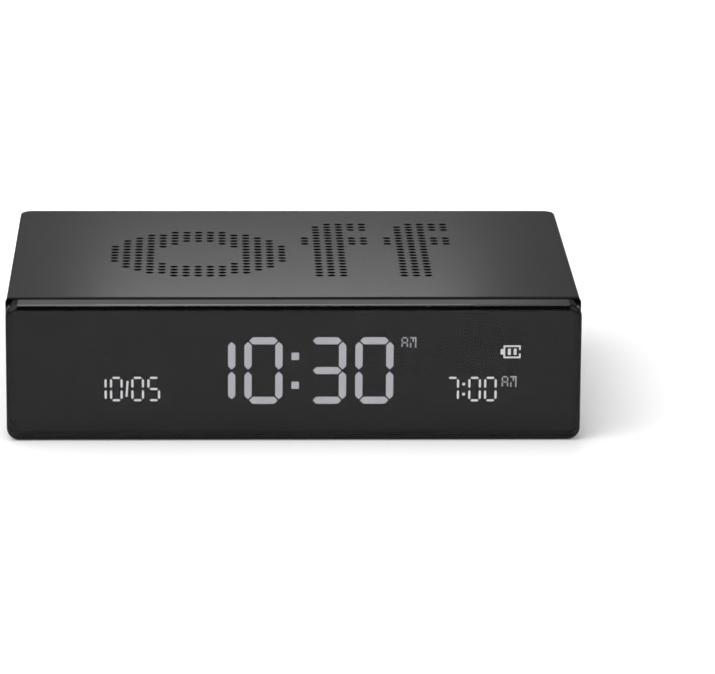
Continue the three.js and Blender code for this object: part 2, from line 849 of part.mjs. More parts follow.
// Battery on the shelf, glued by its tape and plugged into the board
const batteryRight = innerHalfWidth - batteryMargin;
const batteryLeft = batteryRight - batteryWidth;
const batteryFront = speakerY - batteryDepth / 2;
const batteryBack = speakerY + batteryDepth / 2;
const tapeBottom = shelfTop + filmGap;
const batteryBottom = tapeBottom + tapeThickness + filmGap;
const batteryTape = block(
  batteryLeft + tapeInset,
  batteryRight - tapeInset,
  batteryFront + tapeInset,
  batteryBack - tapeInset,
  tapeBottom,
  tapeBottom + tapeThickness,
);
addPart('battery_tape', batteryTape, materials.tape);
const batteryCell = block(
  batteryLeft,
  batteryRight,
  batteryFront,
  batteryBack,
  batteryBottom,
  batteryBottom + batteryHeight,
);
addPart('battery_cell', batteryCell, materials.cell);
const plugX = (batteryLeft + batteryRight) / 2;
const plugFront = boardFront + padInset;
const plugBack = plugFront + plugDepth;
const plug = block(-plugWidth / 2, plugWidth / 2, plugFront, plugBack, onBoard, onBoard + plugHeight);
addPart('battery_connector', plug, materials.whitePlastic, plugX);

// Speaker, hung in the hole of the shelf
const gasketBottom = shelfTop + filmGap;
const gasketTop = gasketBottom + gasketThickness;
const basketFlangeBottom = gasketTop + filmGap;
const basketTop = basketFlangeBottom + speakerFlange;
const basketBottom = basketTop - speakerDepth;
const cupOuter = speakerHoleRadius - speakerRunGap;
const cupInner = cupOuter - speakerWall;
const cupFoot = magnetRadius + slip;
const cupFootOuter = cupFoot + 2 * speakerWall;

const gasket = turned(
  [
    [speakerHoleRadius, gasketBottom],
    [speakerRadius, gasketBottom],
    [speakerRadius, gasketTop],
    [speakerHoleRadius, gasketTop],
  ],
  speakerSides,
);
addPart('speaker_gasket', gasket, materials.foam, speakerX, speakerY);
const basket = turned(
  [
    [cupFoot, basketBottom],
    [cupFootOuter, basketBottom],
    [cupOuter, basketFlangeBottom],
    [speakerRadius, basketFlangeBottom],
    [speakerRadius, basketTop],
    [cupInner, basketTop],
    [cupFootOuter - speakerWall, basketBottom + speakerWall],
    [cupFoot, basketBottom + speakerWall],
  ],
  speakerSides,
);
addPart('speaker_basket', basket, materials.steel, speakerX, speakerY);
const magnetTop = basketBottom + speakerWall;
const magnet = uprightCylinder(magnetRadius, magnetTop - magnetHeight, magnetTop, 0, 0, speakerSides);
addPart('speaker_magnet', magnet, materials.magnet, speakerX, speakerY);
const coneEdge = cupInner - speakerRunGap;
const coneTop = basketTop - conePaper;
const coneCapTop = coneTop - coneRise;

function coneFrustum(bottomRadius, topRadius, z0, z1) {
  const geometry = new THREE.CylinderGeometry(topRadius, bottomRadius, z1 - z0, speakerSides);
  geometry.rotateX(Math.PI / 2);
  geometry.translate(0, 0, (z0 + z1) / 2);
  return geometry;
}

const coneOuter = coneFrustum(coneCapRadius, coneEdge, coneCapTop - conePaper, coneTop);
const coneHollow = coneFrustum(coneCapRadius - coneDrop, coneEdge, coneCapTop, coneTop + conePaper);
addPart('speaker_cone', combine([coneOuter], [coneHollow]), materials.conePaper, speakerX, speakerY);

// Leads, bowed a little between their two ends
function addLead(name, material, x, [y0, z0], [y1, z1]) {
  const middle = [x, (y0 + y1) / 2, Math.max(z0, z1) + leadHump];
  const start = [x, y0, z0];
  const end = [x, y1, z1];
  const points = [start, [x, y0 + leadStraight, z0], middle, [x, y1 - leadStraight, z1], end];
  addPart(name, lead(points), material);
}

const cellTab = [batteryBack + seam, batteryBottom + batteryHeight / 2];
const plugEntry = [plugFront - seam, onBoard + plugHeight / 2];
const speakerTab = [speakerY + speakerRadius + seam, basketFlangeBottom + speakerFlange / 2];
const boardPad = [boardFront + padInset, onBoard + leadRadius];
const runs = [
  ['battery', plugX, cellTab, plugEntry],
  ['speaker', speakerX, speakerTab, boardPad],
];

for (const [name, x, from, to] of runs) {
  addLead(`${name}_lead_red`, materials.redLead, x + leadPitch / 2, from, to);
  addLead(`${name}_lead_black`, materials.blackLead, x - leadPitch / 2, from, to);
}

// Screws, with their heads at the local origin and their shanks running down
const screwHead = uprightCylinder(screwHeadRadius, 0, screwHeadHeight);
const screwShank = uprightCylinder(screwRadius, -screwLength, screwHeadHeight / 2);
const driveFloor = screwHeadHeight - screwRecess;
const driveHole = uprightCylinder(screwRadius, driveFloor, screwHeadHeight + overrun, 0, 0, driveSides);
const screwGeometry = combine([screwHead, screwShank], [driveHole]);
const corners = [
  ['left', 'lower', -1, -1],
  ['right', 'lower', 1, -1],
  ['left', 'upper', -1, 1],
  ['right', 'upper', 1, 1],
];

for (const [side, level, signX, signZ] of corners) {
  const z = midHeight + signZ * bezelScrewRise;
  const name = `bezel_screw_${side}_${level}`;
  const screw = addPart(name, screwGeometry, materials.steel, signX * bezelScrewX, flangeFront - filmGap, z);
  screw.rotation.x = Math.PI / 2;
}

for (const [side, , signX, signY] of corners) {
  const row = signY < 0 ? 'front' : 'rear';
  const y = signY < 0 ? boardScrewYs[0] : boardScrewYs[1];
  addPart(`board_screw_${side}_${row}`, screwGeometry, materials.steel, signX * boardScrewX, y, onBoard);
}

export default clock;
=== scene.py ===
import math

import bmesh
import bpy
from mathutils import Matrix, Vector


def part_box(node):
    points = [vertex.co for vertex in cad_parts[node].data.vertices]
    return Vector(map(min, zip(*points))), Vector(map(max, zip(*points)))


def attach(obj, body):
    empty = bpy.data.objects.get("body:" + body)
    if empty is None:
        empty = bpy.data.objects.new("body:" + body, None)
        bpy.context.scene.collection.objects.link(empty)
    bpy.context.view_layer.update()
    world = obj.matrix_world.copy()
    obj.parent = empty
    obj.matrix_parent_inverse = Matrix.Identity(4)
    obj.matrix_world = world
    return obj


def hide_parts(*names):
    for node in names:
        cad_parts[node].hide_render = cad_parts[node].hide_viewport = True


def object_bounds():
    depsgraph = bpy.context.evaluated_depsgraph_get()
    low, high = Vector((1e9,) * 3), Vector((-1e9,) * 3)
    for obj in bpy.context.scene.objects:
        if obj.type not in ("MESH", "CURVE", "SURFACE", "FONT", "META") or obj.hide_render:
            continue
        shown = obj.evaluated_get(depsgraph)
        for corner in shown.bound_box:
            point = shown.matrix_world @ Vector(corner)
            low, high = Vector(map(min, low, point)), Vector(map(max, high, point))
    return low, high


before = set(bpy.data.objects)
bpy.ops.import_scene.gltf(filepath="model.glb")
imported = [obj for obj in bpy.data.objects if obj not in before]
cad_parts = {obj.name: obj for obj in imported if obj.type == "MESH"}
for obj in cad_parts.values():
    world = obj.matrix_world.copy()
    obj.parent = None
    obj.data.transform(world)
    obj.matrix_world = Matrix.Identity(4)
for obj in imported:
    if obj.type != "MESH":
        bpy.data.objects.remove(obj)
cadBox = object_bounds()
scene = bpy.context.scene
mm = 0.001


def turned(degrees, axis):
    return Matrix.Rotation(math.radians(degrees), 4, axis)


def addObject(name, data):
    thing = bpy.data.objects.new(name, data)
    scene.collection.objects.link(thing)
    return thing


def meshFrom(name, bm):
    mesh = bpy.data.meshes.new(name)
    bm.to_mesh(mesh)
    bm.free()
    return mesh


# Camera, where the photographer stood
cameraSetup = {
    "lens": 234.33, "sensor": 36, "sees": (0.05, 50),
    "place": (-0.01817, -1.06037, 0.29361), "turnRight": 1.833, "lookDown": 14.869, "roll": 0.423,
}


def makeCamera():
    s = cameraSetup
    data = bpy.data.cameras.new("photo_camera")
    data.lens = s["lens"]
    data.sensor_width = s["sensor"]
    data.clip_start, data.clip_end = s["sees"]
    camera = addObject("photo_camera", data)
    turn, tilt, roll = turned(-s["turnRight"], "Z"), turned(90 - s["lookDown"], "X"), turned(s["roll"], "Z")
    camera.matrix_world = Matrix.Translation(s["place"]) @ turn @ tilt @ roll
    scene.camera = camera


makeCamera()
print("camera placed")


# Node helpers for the finishes
def startMaterial(name):
    material = bpy.data.materials.new(name)
    material.use_nodes = True
    shader = material.node_tree.nodes["Principled BSDF"]
    return material, material.node_tree, shader


def feed(tree, socket, value):  # links another socket or sets a constant
    if isinstance(value, bpy.types.NodeSocket):
        tree.links.new(value, socket)
    else:
        socket.default_value = value


def setInputs(tree, node, **inputs):
    for key, value in inputs.items():
        feed(tree, node.inputs[key.replace("_", " ")], value)


def addNode(tree, kind, settings=None, **inputs):
    node = tree.nodes.new(kind)
    for key, value in (settings or {}).items():
        setattr(node, key, value)
    setInputs(tree, node, **inputs)
    return node


def objectPoint(tree, stretch=(1, 1, 1)):
    place = addNode(tree, "ShaderNodeTexCoord")
    mapping = addNode(tree, "ShaderNodeMapping", Vector=place.outputs["Object"], Scale=stretch)
    return mapping.outputs["Vector"]


def noise(tree, point, size, detail=3, roughness=0.5):  # size in mm
    scale = 1 / (size * mm)
    node = addNode(tree, "ShaderNodeTexNoise", Vector=point, Scale=scale, Detail=detail, Roughness=roughness)
    return node.outputs["Fac"]


def spread(tree, value, low, high, fromLow=0.3, fromHigh=0.7):
    ends = {"From_Min": fromLow, "From_Max": fromHigh, "To_Min": low, "To_Max": high}
    return addNode(tree, "ShaderNodeMapRange", Value=value, **ends).outputs["Result"]


def blendColours(tree, factor, first, second):
    node = addNode(tree, "ShaderNodeMix", {"data_type": "RGBA"})
    for number, value in ((0, factor), (6, first), (7, second)):  # 6 and 7 take colours
        feed(tree, node.inputs[number], value)
    return node.outputs[2]


def joinMath(tree, operation, first, second=0.5):
    node = addNode(tree, "ShaderNodeMath", {"operation": operation})
    for socket, value in zip(node.inputs, (first, second)):
        feed(tree, socket, value)
    return node.outputs[0]


def addBump(tree, shader, height, depth):  # depth in mm
    bump = addNode(tree, "ShaderNodeBump", Height=height, Distance=depth * mm, Strength=1)
    tree.links.new(bump.outputs["Normal"], shader.inputs["Normal"])


def shade(colour, share=1):  # a grey level or a colour, with alpha
    parts = colour if isinstance(colour, tuple) else (colour,) * 3
    return (*(part * share for part in parts), 1)


# Moulded plastics, rubbers and foams: mottled colour, uneven gloss and a fine spark-eroded grain.
# In order: dark, light, roughness from and to, grain and its depth in mm, and mirror strength if not 0.5.
mouldedLooks = {
    # plate rims: a darker tone on the rounded outer edges, painted shade
    "rimPaintedShade": (0.010, 0.013, 0.45, 0.52, 0.16, 0.004, 0.12),
    # near-black with no mirror: the bezel's black deepened into painted shade for the groove behind the
    # lens, and painted shade on the plate hole walls
    "recessShadeBlack": (0.002, 0.003, 0.85, 0.95, 0.20, 0.004, 0.0),
    "satinPlate": (0.014, 0.017, 0.21, 0.25, 0.16, 0.006, 0.12),
    "satinBody": (0.020, 0.026, 0.34, 0.42, 0.18, 0.010, 0.3),
    "blackFrame": (0.006, 0.010, 0.55, 0.68, 0.22, 0.015),
    "keyRubber": (0.014, 0.020, 0.55, 0.70, 0.14, 0.016),
    "chipBlack": (0.012, 0.018, 0.50, 0.62, 0.12, 0.010),
    "foam": (0.010, 0.024, 0.85, 0.95, 0.45, 0.080),
    "whitePlastic": (0.70, 0.78, 0.38, 0.48, 0.20, 0.010),
    "markPrint": (0.42, 0.50, 0.45, 0.55, 0.10, 0.004),
    "ceramic": ((0.30, 0.20, 0.12), (0.38, 0.27, 0.17), 0.45, 0.60, 0.08, 0.006),
    "phosphor": ((0.75, 0.55, 0.08), (0.85, 0.66, 0.14), 0.30, 0.45, 0.10, 0.010),
    "redLead": ((0.36, 0.012, 0.010), (0.45, 0.02, 0.015), 0.32, 0.45, 0.30, 0.010),
    "blackLead": (0.010, 0.016, 0.32, 0.45, 0.30, 0.010),
    "conePaper": (0.018, 0.034, 0.70, 0.85, 0.25, 0.030),
    "displayGlass": ((0.020, 0.026, 0.028), (0.026, 0.034, 0.036), 0.04, 0.08, 2.0, 0.001),
    "polariser": ((0.004, 0.004, 0.006), (0.006, 0.006, 0.009), 0.26, 0.32, 0.12, 0.0003, 0.1),
    "diffuser": (0.72, 0.78, 0.62, 0.75, 0.10, 0.012),
    "reflector": ((0.74, 0.76, 0.78), (0.80, 0.82, 0.84), 0.18, 0.28, 0.40, 0.006),
    "lensSolid": (0.002, 0.004, 0.02, 0.04, 4.0, 0.0, 0.16),
    "maskPrint": (0.002, 0.003, 0.60, 0.70, 0.10, 0.004, 0.2),
    # lens edge: matt near-black, edge paint on the sides that also paints in a dark reflection, and painted
    # shade on the lower edge
    "lensEdgePaintAndShade": (0.003, 0.005, 0.50, 0.60, 0.10, 0.004, 0.15),
}
mottle = {"colour": (22, 4, 0.6), "gloss": (6, 5, 0.65), "grain": (2, 0.5)}


def makeMoulded(name, dark, light, low, high, grain, depth, mirror=0.5):
    material, tree, shader = startMaterial(name)
    point = objectPoint(tree)
    patches = spread(tree, noise(tree, point, *mottle["colour"]), 0, 1)
    mixed = blendColours(tree, patches, shade(dark), shade(light))
    gloss = spread(tree, noise(tree, point, *mottle["gloss"]), low, high)
    setInputs(tree, shader, Base_Color=mixed, Roughness=gloss, Specular_IOR_Level=mirror)
    addBump(tree, shader, noise(tree, point, grain, *mottle["grain"]), depth)
    return material


finishes = {name: makeMoulded(name, *look) for name, look in mouldedLooks.items()}


# Woven dust cloth, circuit board, ribbon and light guide: each has a pattern of its own
patternLooks = {
    "dustCloth": {
        "thread": 0.36, "patch": 2, "mirror": 0.2,
        "dark": 0.004, "light": 0.014, "gloss": (0.80, 0.95), "depth": 0.05,
    },
    "circuitBoard": {
        "track": 1.3, "gap": 0.035, "soft": 0.2, "area": 7, "areaEdge": (0.46, 0.50),
        "patch": 3, "dark": (0.010, 0.052, 0.026), "light": (0.022, 0.110, 0.052), "gloss": (0.26, 0.38),
        "depth": 0.02, "bond": {"offset": 0.3, "squash": 1.6, "squash_frequency": 3},
    },
    "ribbonFilm": {
        "wire": 0.5, "wireEdge": (0.45, 0.55), "patch": 4,
        "dark": (0.36, 0.15, 0.025), "light": (0.58, 0.30, 0.08), "gloss": (0.20, 0.32), "depth": 0.01,
    },
    "lightGuide": {
        "dot": 1.1, "dotEdge": (0.55, 0.65),
        "dark": (0.62, 0.66, 0.68), "light": (0.86, 0.87, 0.88), "gloss": (0.10, 0.55), "depth": 0.02,
    },
}


def wave(tree, point, period, direction):
    scale = math.pi / 10 / (period * mm)
    settings = {"bands_direction": direction}
    return addNode(tree, "ShaderNodeTexWave", settings, Vector=point, Scale=scale).outputs["Fac"]


def drawCloth(tree, point, look):
    weft = wave(tree, point, look["thread"], "X")
    warp = wave(tree, point, look["thread"], "Y")
    return joinMath(tree, "MAXIMUM", weft, warp)


def drawBoard(tree, point, look):
    scale = 0.5 / (look["track"] * mm)
    gaps = {"Mortar_Size": look["gap"], "Mortar_Smooth": look["soft"]}
    bricks = addNode(tree, "ShaderNodeTexBrick", look["bond"], Vector=point, Scale=scale, **gaps)
    where = spread(tree, noise(tree, point, look["area"], 1, 0.4), 0, 1, *look["areaEdge"])
    return joinMath(tree, "MULTIPLY", bricks.outputs["Fac"], where)


def drawRibbon(tree, point, look):
    return spread(tree, wave(tree, point, look["wire"], "X"), 0, 1, *look["wireEdge"])


def drawGuide(tree, point, look):
    across = wave(tree, point, look["dot"], "X")
    upward = wave(tree, point, look["dot"], "Z")
    return spread(tree, joinMath(tree, "MULTIPLY", across, upward), 0, 1, *look["dotEdge"])


def makePatterned(name, draw):
    look = patternLooks[name]
    material, tree, shader = startMaterial(name)
    point = objectPoint(tree)
    pattern = draw(tree, point, look)
    mixed = blendColours(tree, pattern, shade(look["dark"]), shade(look["light"]))
    if "patch" in look:
        gloss = spread(tree, noise(tree, point, look["patch"]), *look["gloss"])
    else:
        gloss = spread(tree, pattern, *look["gloss"], 0, 1)
    mirror = look.get("mirror", 0.5)
    setInputs(tree, shader, Base_Color=mixed, Roughness=gloss, Specular_IOR_Level=mirror)
    addBump(tree, shader, pattern, look["depth"])
    return material


for name, draw in zip(patternLooks, (drawCloth, drawBoard, drawRibbon, drawGuide)):
    finishes[name] = makePatterned(name, draw)
print("plastics mixed:", len(finishes))


# Smoked lens and the lit segments
lensLook = {"tint": 0.003, "haze": (30, 3, 0.5), "hazeTint": 1.3, "solid": 0.5, "ior": 1.45}
lensRub = {"patch": (9, 5, 0.6), "gloss": (0.02, 0.04)}
glowLooks = {
    "glowBig": {"colour": (0.92, 0.92, 1.0), "strength": 1.65},
    "glowSmall": {"colour": (0.96, 0.97, 1.0), "strength": 2.5},
    "glowDim": {"colour": (0.94, 0.95, 1.0), "strength": 1.4},
}
glowBase = {"dimmest": 0.94, "patch": (1.5, 2, 0.5), "unlit": 0.3, "gloss": 0.5}


def makeSmokedLens():
    s = lensLook
    material, tree, shader = startMaterial("smokedLens")
    point = objectPoint(tree)
    haze = spread(tree, noise(tree, point, *s["haze"]), 0, 1)
    tint = blendColours(tree, haze, shade(s["tint"]), shade(s["tint"], s["hazeTint"]))
    gloss = spread(tree, noise(tree, point, *lensRub["patch"]), *lensRub["gloss"])
    setInputs(tree, shader, Base_Color=tint, Roughness=gloss, Alpha=s["solid"], IOR=s["ior"])
    return material


def makeGlow(name, look):
    s = glowBase
    material, tree, shader = startMaterial(name)
    even = spread(tree, noise(tree, objectPoint(tree), *s["patch"]), 0, 1)
    light = blendColours(tree, even, shade(look["colour"], s["dimmest"]), shade(look["colour"]))
    setInputs(tree, shader, Base_Color=shade(s["unlit"]), Roughness=s["gloss"])
    setInputs(tree, shader, Emission_Color=light, Emission_Strength=look["strength"])
    return material


finishes["smokedLens"] = makeSmokedLens()
finishes.update({name: makeGlow(name, look) for name, look in glowLooks.items()})
print("lens and light mixed")


# Metals, drawn or rolled, with streaks along one axis, and the creased amber tape
metalLooks = {
    "basketSteel": {"colour": (0.17, 0.17, 0.18), "gloss": (0.34, 0.46), "streak": (4, 4, 1)},
    "steel": {"colour": (0.50, 0.50, 0.51), "gloss": (0.24, 0.38), "streak": (1, 14, 14)},
    "gold": {"colour": (0.80, 0.58, 0.22), "gloss": (0.20, 0.30), "streak": (1, 8, 8)},
    "copperFoil": {"colour": (0.72, 0.40, 0.22), "gloss": (0.26, 0.40), "streak": (1, 18, 1)},
    "cellFoil": {"colour": (0.40, 0.41, 0.43), "gloss": (0.34, 0.50), "streak": (1, 6, 1)},
    "magnetSteel": {"colour": (0.30, 0.30, 0.31), "gloss": (0.26, 0.38), "streak": (4, 4, 1)},
}
metalGrain = {"patch": (5, 5, 0.65), "darkest": 0.86, "depth": 0.004}
tapeLook = {
    "dark": (0.40, 0.17, 0.02), "light": (0.52, 0.25, 0.04), "gloss": (0.16, 0.30), "crease": (3, 4, 0.6),
    "depth": 0.03,
}


def makeStreaked(name, colours, gloss, streaks, depth, metallic):
    material, tree, shader = startMaterial(name)
    relief = noise(tree, objectPoint(tree, streaks[0]), *streaks[1])
    mixed = blendColours(tree, spread(tree, relief, 0, 1), *colours)
    setInputs(tree, shader, Base_Color=mixed, Roughness=spread(tree, relief, *gloss), Metallic=metallic)
    addBump(tree, shader, relief, depth)
    return material


def makeMetal(name, look):
    s = metalGrain
    colours = (shade(look["colour"], s["darkest"]), shade(look["colour"]))
    return makeStreaked(name, colours, look["gloss"], (look["streak"], s["patch"]), s["depth"], 1)


def makeTape():
    s = tapeLook
    colours = (shade(s["dark"]), shade(s["light"]))
    return makeStreaked("amberTape", colours, s["gloss"], ((1, 1, 1), s["crease"]), s["depth"], 0)


finishes.update({name: makeMetal(name, look) for name, look in metalLooks.items()})
finishes["amberTape"] = makeTape()
print("metals mixed")


# Pieces
closeTo = 0.01
sharpRim = math.radians(40)


def turnOutward(bm):
    bmesh.ops.recalc_face_normals(bm, faces=bm.faces[:])


def finishPiece(name, bm, materials, replaced=(), sharpAngle=32, body="case"):
    turnOutward(bm)
    loose = sum(1 for edge in bm.edges if not edge.is_manifold)
    print(name, len(bm.faces), "faces", loose, "open edges")
    for face in bm.faces:
        face.smooth = True
    for edge in bm.edges:
        edge.smooth = edge.is_manifold and edge.calc_face_angle(0) < math.radians(sharpAngle)
    mesh = meshFrom(name, bm)
    for material in materials:
        mesh.materials.append(finishes[material])
    piece = addObject(name, mesh)
    flats = piece.modifiers.new("flats", "WEIGHTED_NORMAL")
    flats.keep_sharp = True
    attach(piece, body)
    if replaced:
        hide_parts(*replaced)


def boxOf(node):  # two corners in mm
    return [corner / mm for corner in map(Vector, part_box(node))]


def addBlock(bm, low, high):
    low = Vector(low) * mm
    high = Vector(high) * mm
    size = Matrix.Diagonal((*(high - low), 1))
    made = bmesh.ops.create_cube(bm, size=1, matrix=Matrix.Translation((low + high) / 2) @ size)
    return made["verts"]


def vertsOf(made):
    return [item for item in made["geom"] if isinstance(item, bmesh.types.BMVert)]


def pushFaces(bm, faces, away):  # extrudes and moves, and returns the new vertices
    edges = {edge for face in faces for edge in face.edges}
    verts = {vert for face in faces for vert in face.verts}
    pushed = vertsOf(bmesh.ops.extrude_face_region(bm, geom=[*faces, *edges, *verts]))
    bmesh.ops.translate(bm, verts=pushed, vec=Vector(away) * mm)
    return pushed


def addSlab(bm, points, away):  # a flat outline, pushed to its thickness
    verts = [bm.verts.new(Vector(point) * mm) for point in points]
    made = bmesh.ops.contextual_create(bm, geom=verts)
    return verts + pushFaces(bm, made["faces"], away)


def insetFace(bm, face, width):
    return bmesh.ops.inset_region(bm, faces=[face], thickness=width * mm, use_even_offset=True)["faces"]


def cutAt(bm, axis, level):  # a row of edges where this level crosses the piece
    normal = Vector([float(number == axis) for number in range(3)])
    parts = bm.verts[:] + bm.edges[:] + bm.faces[:]
    bmesh.ops.bisect_plane(bm, geom=parts, plane_co=normal * level * mm, plane_no=normal)


def bevelEdges(bm, edges, width, segments):
    return bmesh.ops.bevel(
        bm,
        geom=edges,
        offset=width * mm,
        affect="EDGES",
        segments=segments,
        profile=0.5,
        material=-1,
        clamp_overlap=True,
    )


def edgeMiddle(edge):
    return (edge.verts[0].co + edge.verts[1].co) / 2 / mm


def faceMiddle(face):
    return face.calc_center_median() / mm


def edgesAlong(bm, axis, test=lambda middle: True):
    found = []
    for edge in bm.edges:
        direction = (edge.verts[1].co - edge.verts[0].co).normalized()
        if abs(direction[axis]) > 0.99 and test(edgeMiddle(edge)):
            found.append(edge)
    return found


def sharpOn(axis, *levels):  # a test for sharp edges that lie on one of these levels
    def test(edge):
        if not edge.is_manifold or edge.calc_face_angle(0) < sharpRim:
            return False
        heights = [vert.co[axis] / mm for vert in edge.verts]
        return any(all(abs(height - level) < closeTo for height in heights) for level in levels)

    return test


def rimEdges(bm, axis, level):
    return list(filter(sharpOn(axis, level), bm.edges))


def faceAt(bm, axis, level):
    fits = [face for face in bm.faces if abs(faceMiddle(face)[axis] - level) < closeTo]
    return max(fits, key=lambda face: face.calc_area())


# Front lens: one moulded cap, round at its corners and over its front edges.
# Its front is clear, its sides are matt black edge paint that also stands in for a dark reflection, its
# lower edge is darkened as painted shade, and the rest of its skin is plain black.
lensSizes = {
    "halfWidth": 65.0, "height": 31.6, "front": -46.5, "back": -40.3, "rim": 1.8, "wall": 2.0,
    "corner": 2.8, "cornerSteps": 12, "edge": 1.3, "edgeSteps": 8, "backEdge": 0.5, "backSteps": 3,
    "sideTilt": 0.5, "underTilt": (-0.98, -0.2), "skinTilt": -0.6, "skinDepth": 1.75,
}


def onSkin(edge):  # not round the hollow
    s = lensSizes
    middle = edgeMiddle(edge)
    low, high = s["rim"] - closeTo, s["height"] - s["rim"] + closeTo
    return not (abs(middle.x) < s["halfWidth"] - s["rim"] + closeTo and low < middle.z < high)


def makeLens():
    s = lensSizes
    bm = bmesh.new()
    addBlock(bm, (-s["halfWidth"], s["front"], 0), (s["halfWidth"], s["back"], s["height"]))
    bevelEdges(bm, edgesAlong(bm, 1), s["corner"], s["cornerSteps"])
    back = faceAt(bm, 1, s["back"])
    insetFace(bm, back, s["rim"])
    pushFaces(bm, [back], (0, s["front"] + s["wall"] - s["back"], 0))
    bevelEdges(bm, rimEdges(bm, 1, s["front"]), s["edge"], s["edgeSteps"])
    bevelEdges(bm, list(filter(onSkin, rimEdges(bm, 1, s["back"]))), s["backEdge"], s["backSteps"])
    lowTilt, highTilt = s["underTilt"]
    for face in bm.faces:
        middle = faceMiddle(face)
        # outside: the sides take matt black edge paint, which also paints in a dark reflection
        outside = abs(middle.x) > s["halfWidth"] - s["rim"] / 2 and abs(face.normal.x) > s["sideTilt"]
        # below: the lower rounded edge is darkened, painted shade of the floor right under the lens
        below = middle.z < s["edge"] and lowTilt < face.normal.z < highTilt
        deep = min(middle.z, s["height"] - middle.z, s["halfWidth"] - abs(middle.x))
        skin = deep < s["skinDepth"] and face.normal.y > s["skinTilt"]
        face.material_index = 1 if outside or below else 2 if skin else 0
    looks = ["smokedLens", "lensEdgePaintAndShade", "lensSolid"]
    finishPiece("front_lens_cap", bm, looks, ["front_lens"])


makeLens()
print("lens moulded")


# Black print on the back of the lens, round the display's window
maskSizes = {
    "halfWidth": 62.9, "low": 2.2, "high": 29.4, "front": -44.48, "back": -44.38,
    "window": (-45.3, 54.1, 6.1, 25.5),
}


def makeMask():
    s = maskSizes
    left, right, low, high = s["window"]
    bm = bmesh.new()
    addBlock(bm, (-s["halfWidth"], s["front"], s["low"]), (s["halfWidth"], s["back"], s["high"]))
    for axis, level in ((0, left), (0, right), (2, low), (2, high)):
        cutAt(bm, axis, level)
    inWindow = []
    for face in bm.faces:
        middle = faceMiddle(face)
        if left < middle.x < right and low < middle.z < high:
            inWindow.append(face)
    bmesh.ops.delete(bm, geom=inWindow, context="FACES")
    bmesh.ops.bridge_loops(bm, edges=[edge for edge in bm.edges if edge.is_boundary])
    finishPiece("lens_mask_print", bm, ["maskPrint"], ())


makeMask()


# Lit segments: long bars with pointed ends and a narrow gap between them
segmentPaths = {
    "a": ((-1, 1), (1, 1)),
    "b": ((1, 1), (1, 0)),
    "c": ((1, 0), (1, -1)),
    "d": ((-1, -1), (1, -1)),
    "e": ((-1, 0), (-1, -1)),
    "f": ((-1, 1), (-1, 0)),
    "g": ((-1, 0), (1, 0)),
}
litSegments = {"0": "abcdef", "1": "bc", "3": "abcdg", "5": "acdfg", "7": "abc", "A": "abcefg"}
displayRows = {
    "time": {
        "z": 15.86, "wide": 6.98, "high": 13.95, "bar": 1.66, "gap": 0.25, "glow": 0,
        "signs": (("1", -17.57), ("0", -6.89), ("3", 7.52), ("0", 18.21)),
    },
    "date": {
        "z": 11.58, "wide": 2.38, "high": 5.24, "bar": 0.50, "gap": 0.27, "glow": 1,
        "signs": (("1", -43.78), ("0", -40.17), ("0", -35.34), ("5", -31.71)),
    },
    "alarm": {
        "z": 11.47, "wide": 2.38, "high": 5.28, "bar": 0.50, "gap": 0.27, "glow": 1,
        "signs": (("7", 36.04), ("0", 41.00), ("0", 44.59)),
    },
    "morning": {
        "z": 22.37, "wide": 1.20, "high": 2.30, "bar": 0.30, "gap": 0.10, "glow": 2,
        "signs": (("A", 25.04), ("M", 26.96)),
    },
    "alarmMorning": {
        "z": 13.15, "wide": 1.20, "high": 2.40, "bar": 0.30, "gap": 0.10, "glow": 2,
        "signs": (("A", 47.88), ("M", 49.79)),
    },
}
letterM = {"half": 0.47, "stem": 0.2}  # shares of the sign's width and of half its height
displayDots = (
    (0.30, 19.21, 1.70, 0), (0.30, 12.41, 1.70, 0), (38.53, 12.65, 0.62, 1), (38.53, 10.29, 0.62, 1),
)
dateSlash = {"low": (-37.88, 9.78), "high": (-37.61, 13.46), "bar": 0.46, "glow": 1}
batteryMark = {
    "x": 49.39, "z": 20.22, "wide": 3.9, "high": 3.0, "line": 0.38, "gap": 0.82,
    "nub": (46.80, 1.26), "bars": (48.76, 50.08), "bar": (0.66, 1.46), "glow": 1,
}
glowPlane = {"front": -44.36, "back": -44.31}


def addBar(bm, start, end, width, glow, pointed=False):
    start, end = Vector(start), Vector(end)
    along = (end - start).normalized()
    across = Vector((-along.y, along.x)) * width / 2
    tip = along * width / 2
    if pointed:
        near, far = start + tip, end - tip
        outline = [start, near + across, far + across, end, far - across, near - across]
    else:
        outline = [start + across, end + across, end - across, start - across]
    older = set(bm.faces)
    front, back = glowPlane["front"], glowPlane["back"]
    addSlab(bm, [(point.x, front, point.y) for point in outline], (0, back - front, 0))
    for face in set(bm.faces) - older:
        face.material_index = glow


def addDigit(bm, row, sign, centre):
    for letter in litSegments[sign]:
        (x0, z0), (x1, z1) = segmentPaths[letter]
        start = Vector((centre + x0 * row["wide"] / 2, row["z"] + z0 * row["high"] / 2))
        end = Vector((centre + x1 * row["wide"] / 2, row["z"] + z1 * row["high"] / 2))
        gap = (end - start).normalized() * row["gap"]
        addBar(bm, start + gap, end - gap, row["bar"], row["glow"], True)


def addLetterM(bm, row, centre):
    z, bar, split = row["z"], row["bar"], row["gap"] / 2
    half, rise = row["wide"] * letterM["half"], row["high"] / 2
    strokes = (
        ((centre - half - bar / 2, z + rise), (centre + half + bar / 2, z + rise)),
        ((centre + half, z + rise), (centre + half, z + split)),
        ((centre + half, z - split), (centre + half, z - rise)),
        ((centre - half, z - split), (centre - half, z - rise)),
        ((centre, z + rise), (centre, z + rise * letterM["stem"])),
    )
    for start, end in strokes:
        addBar(bm, start, end, bar, row["glow"])


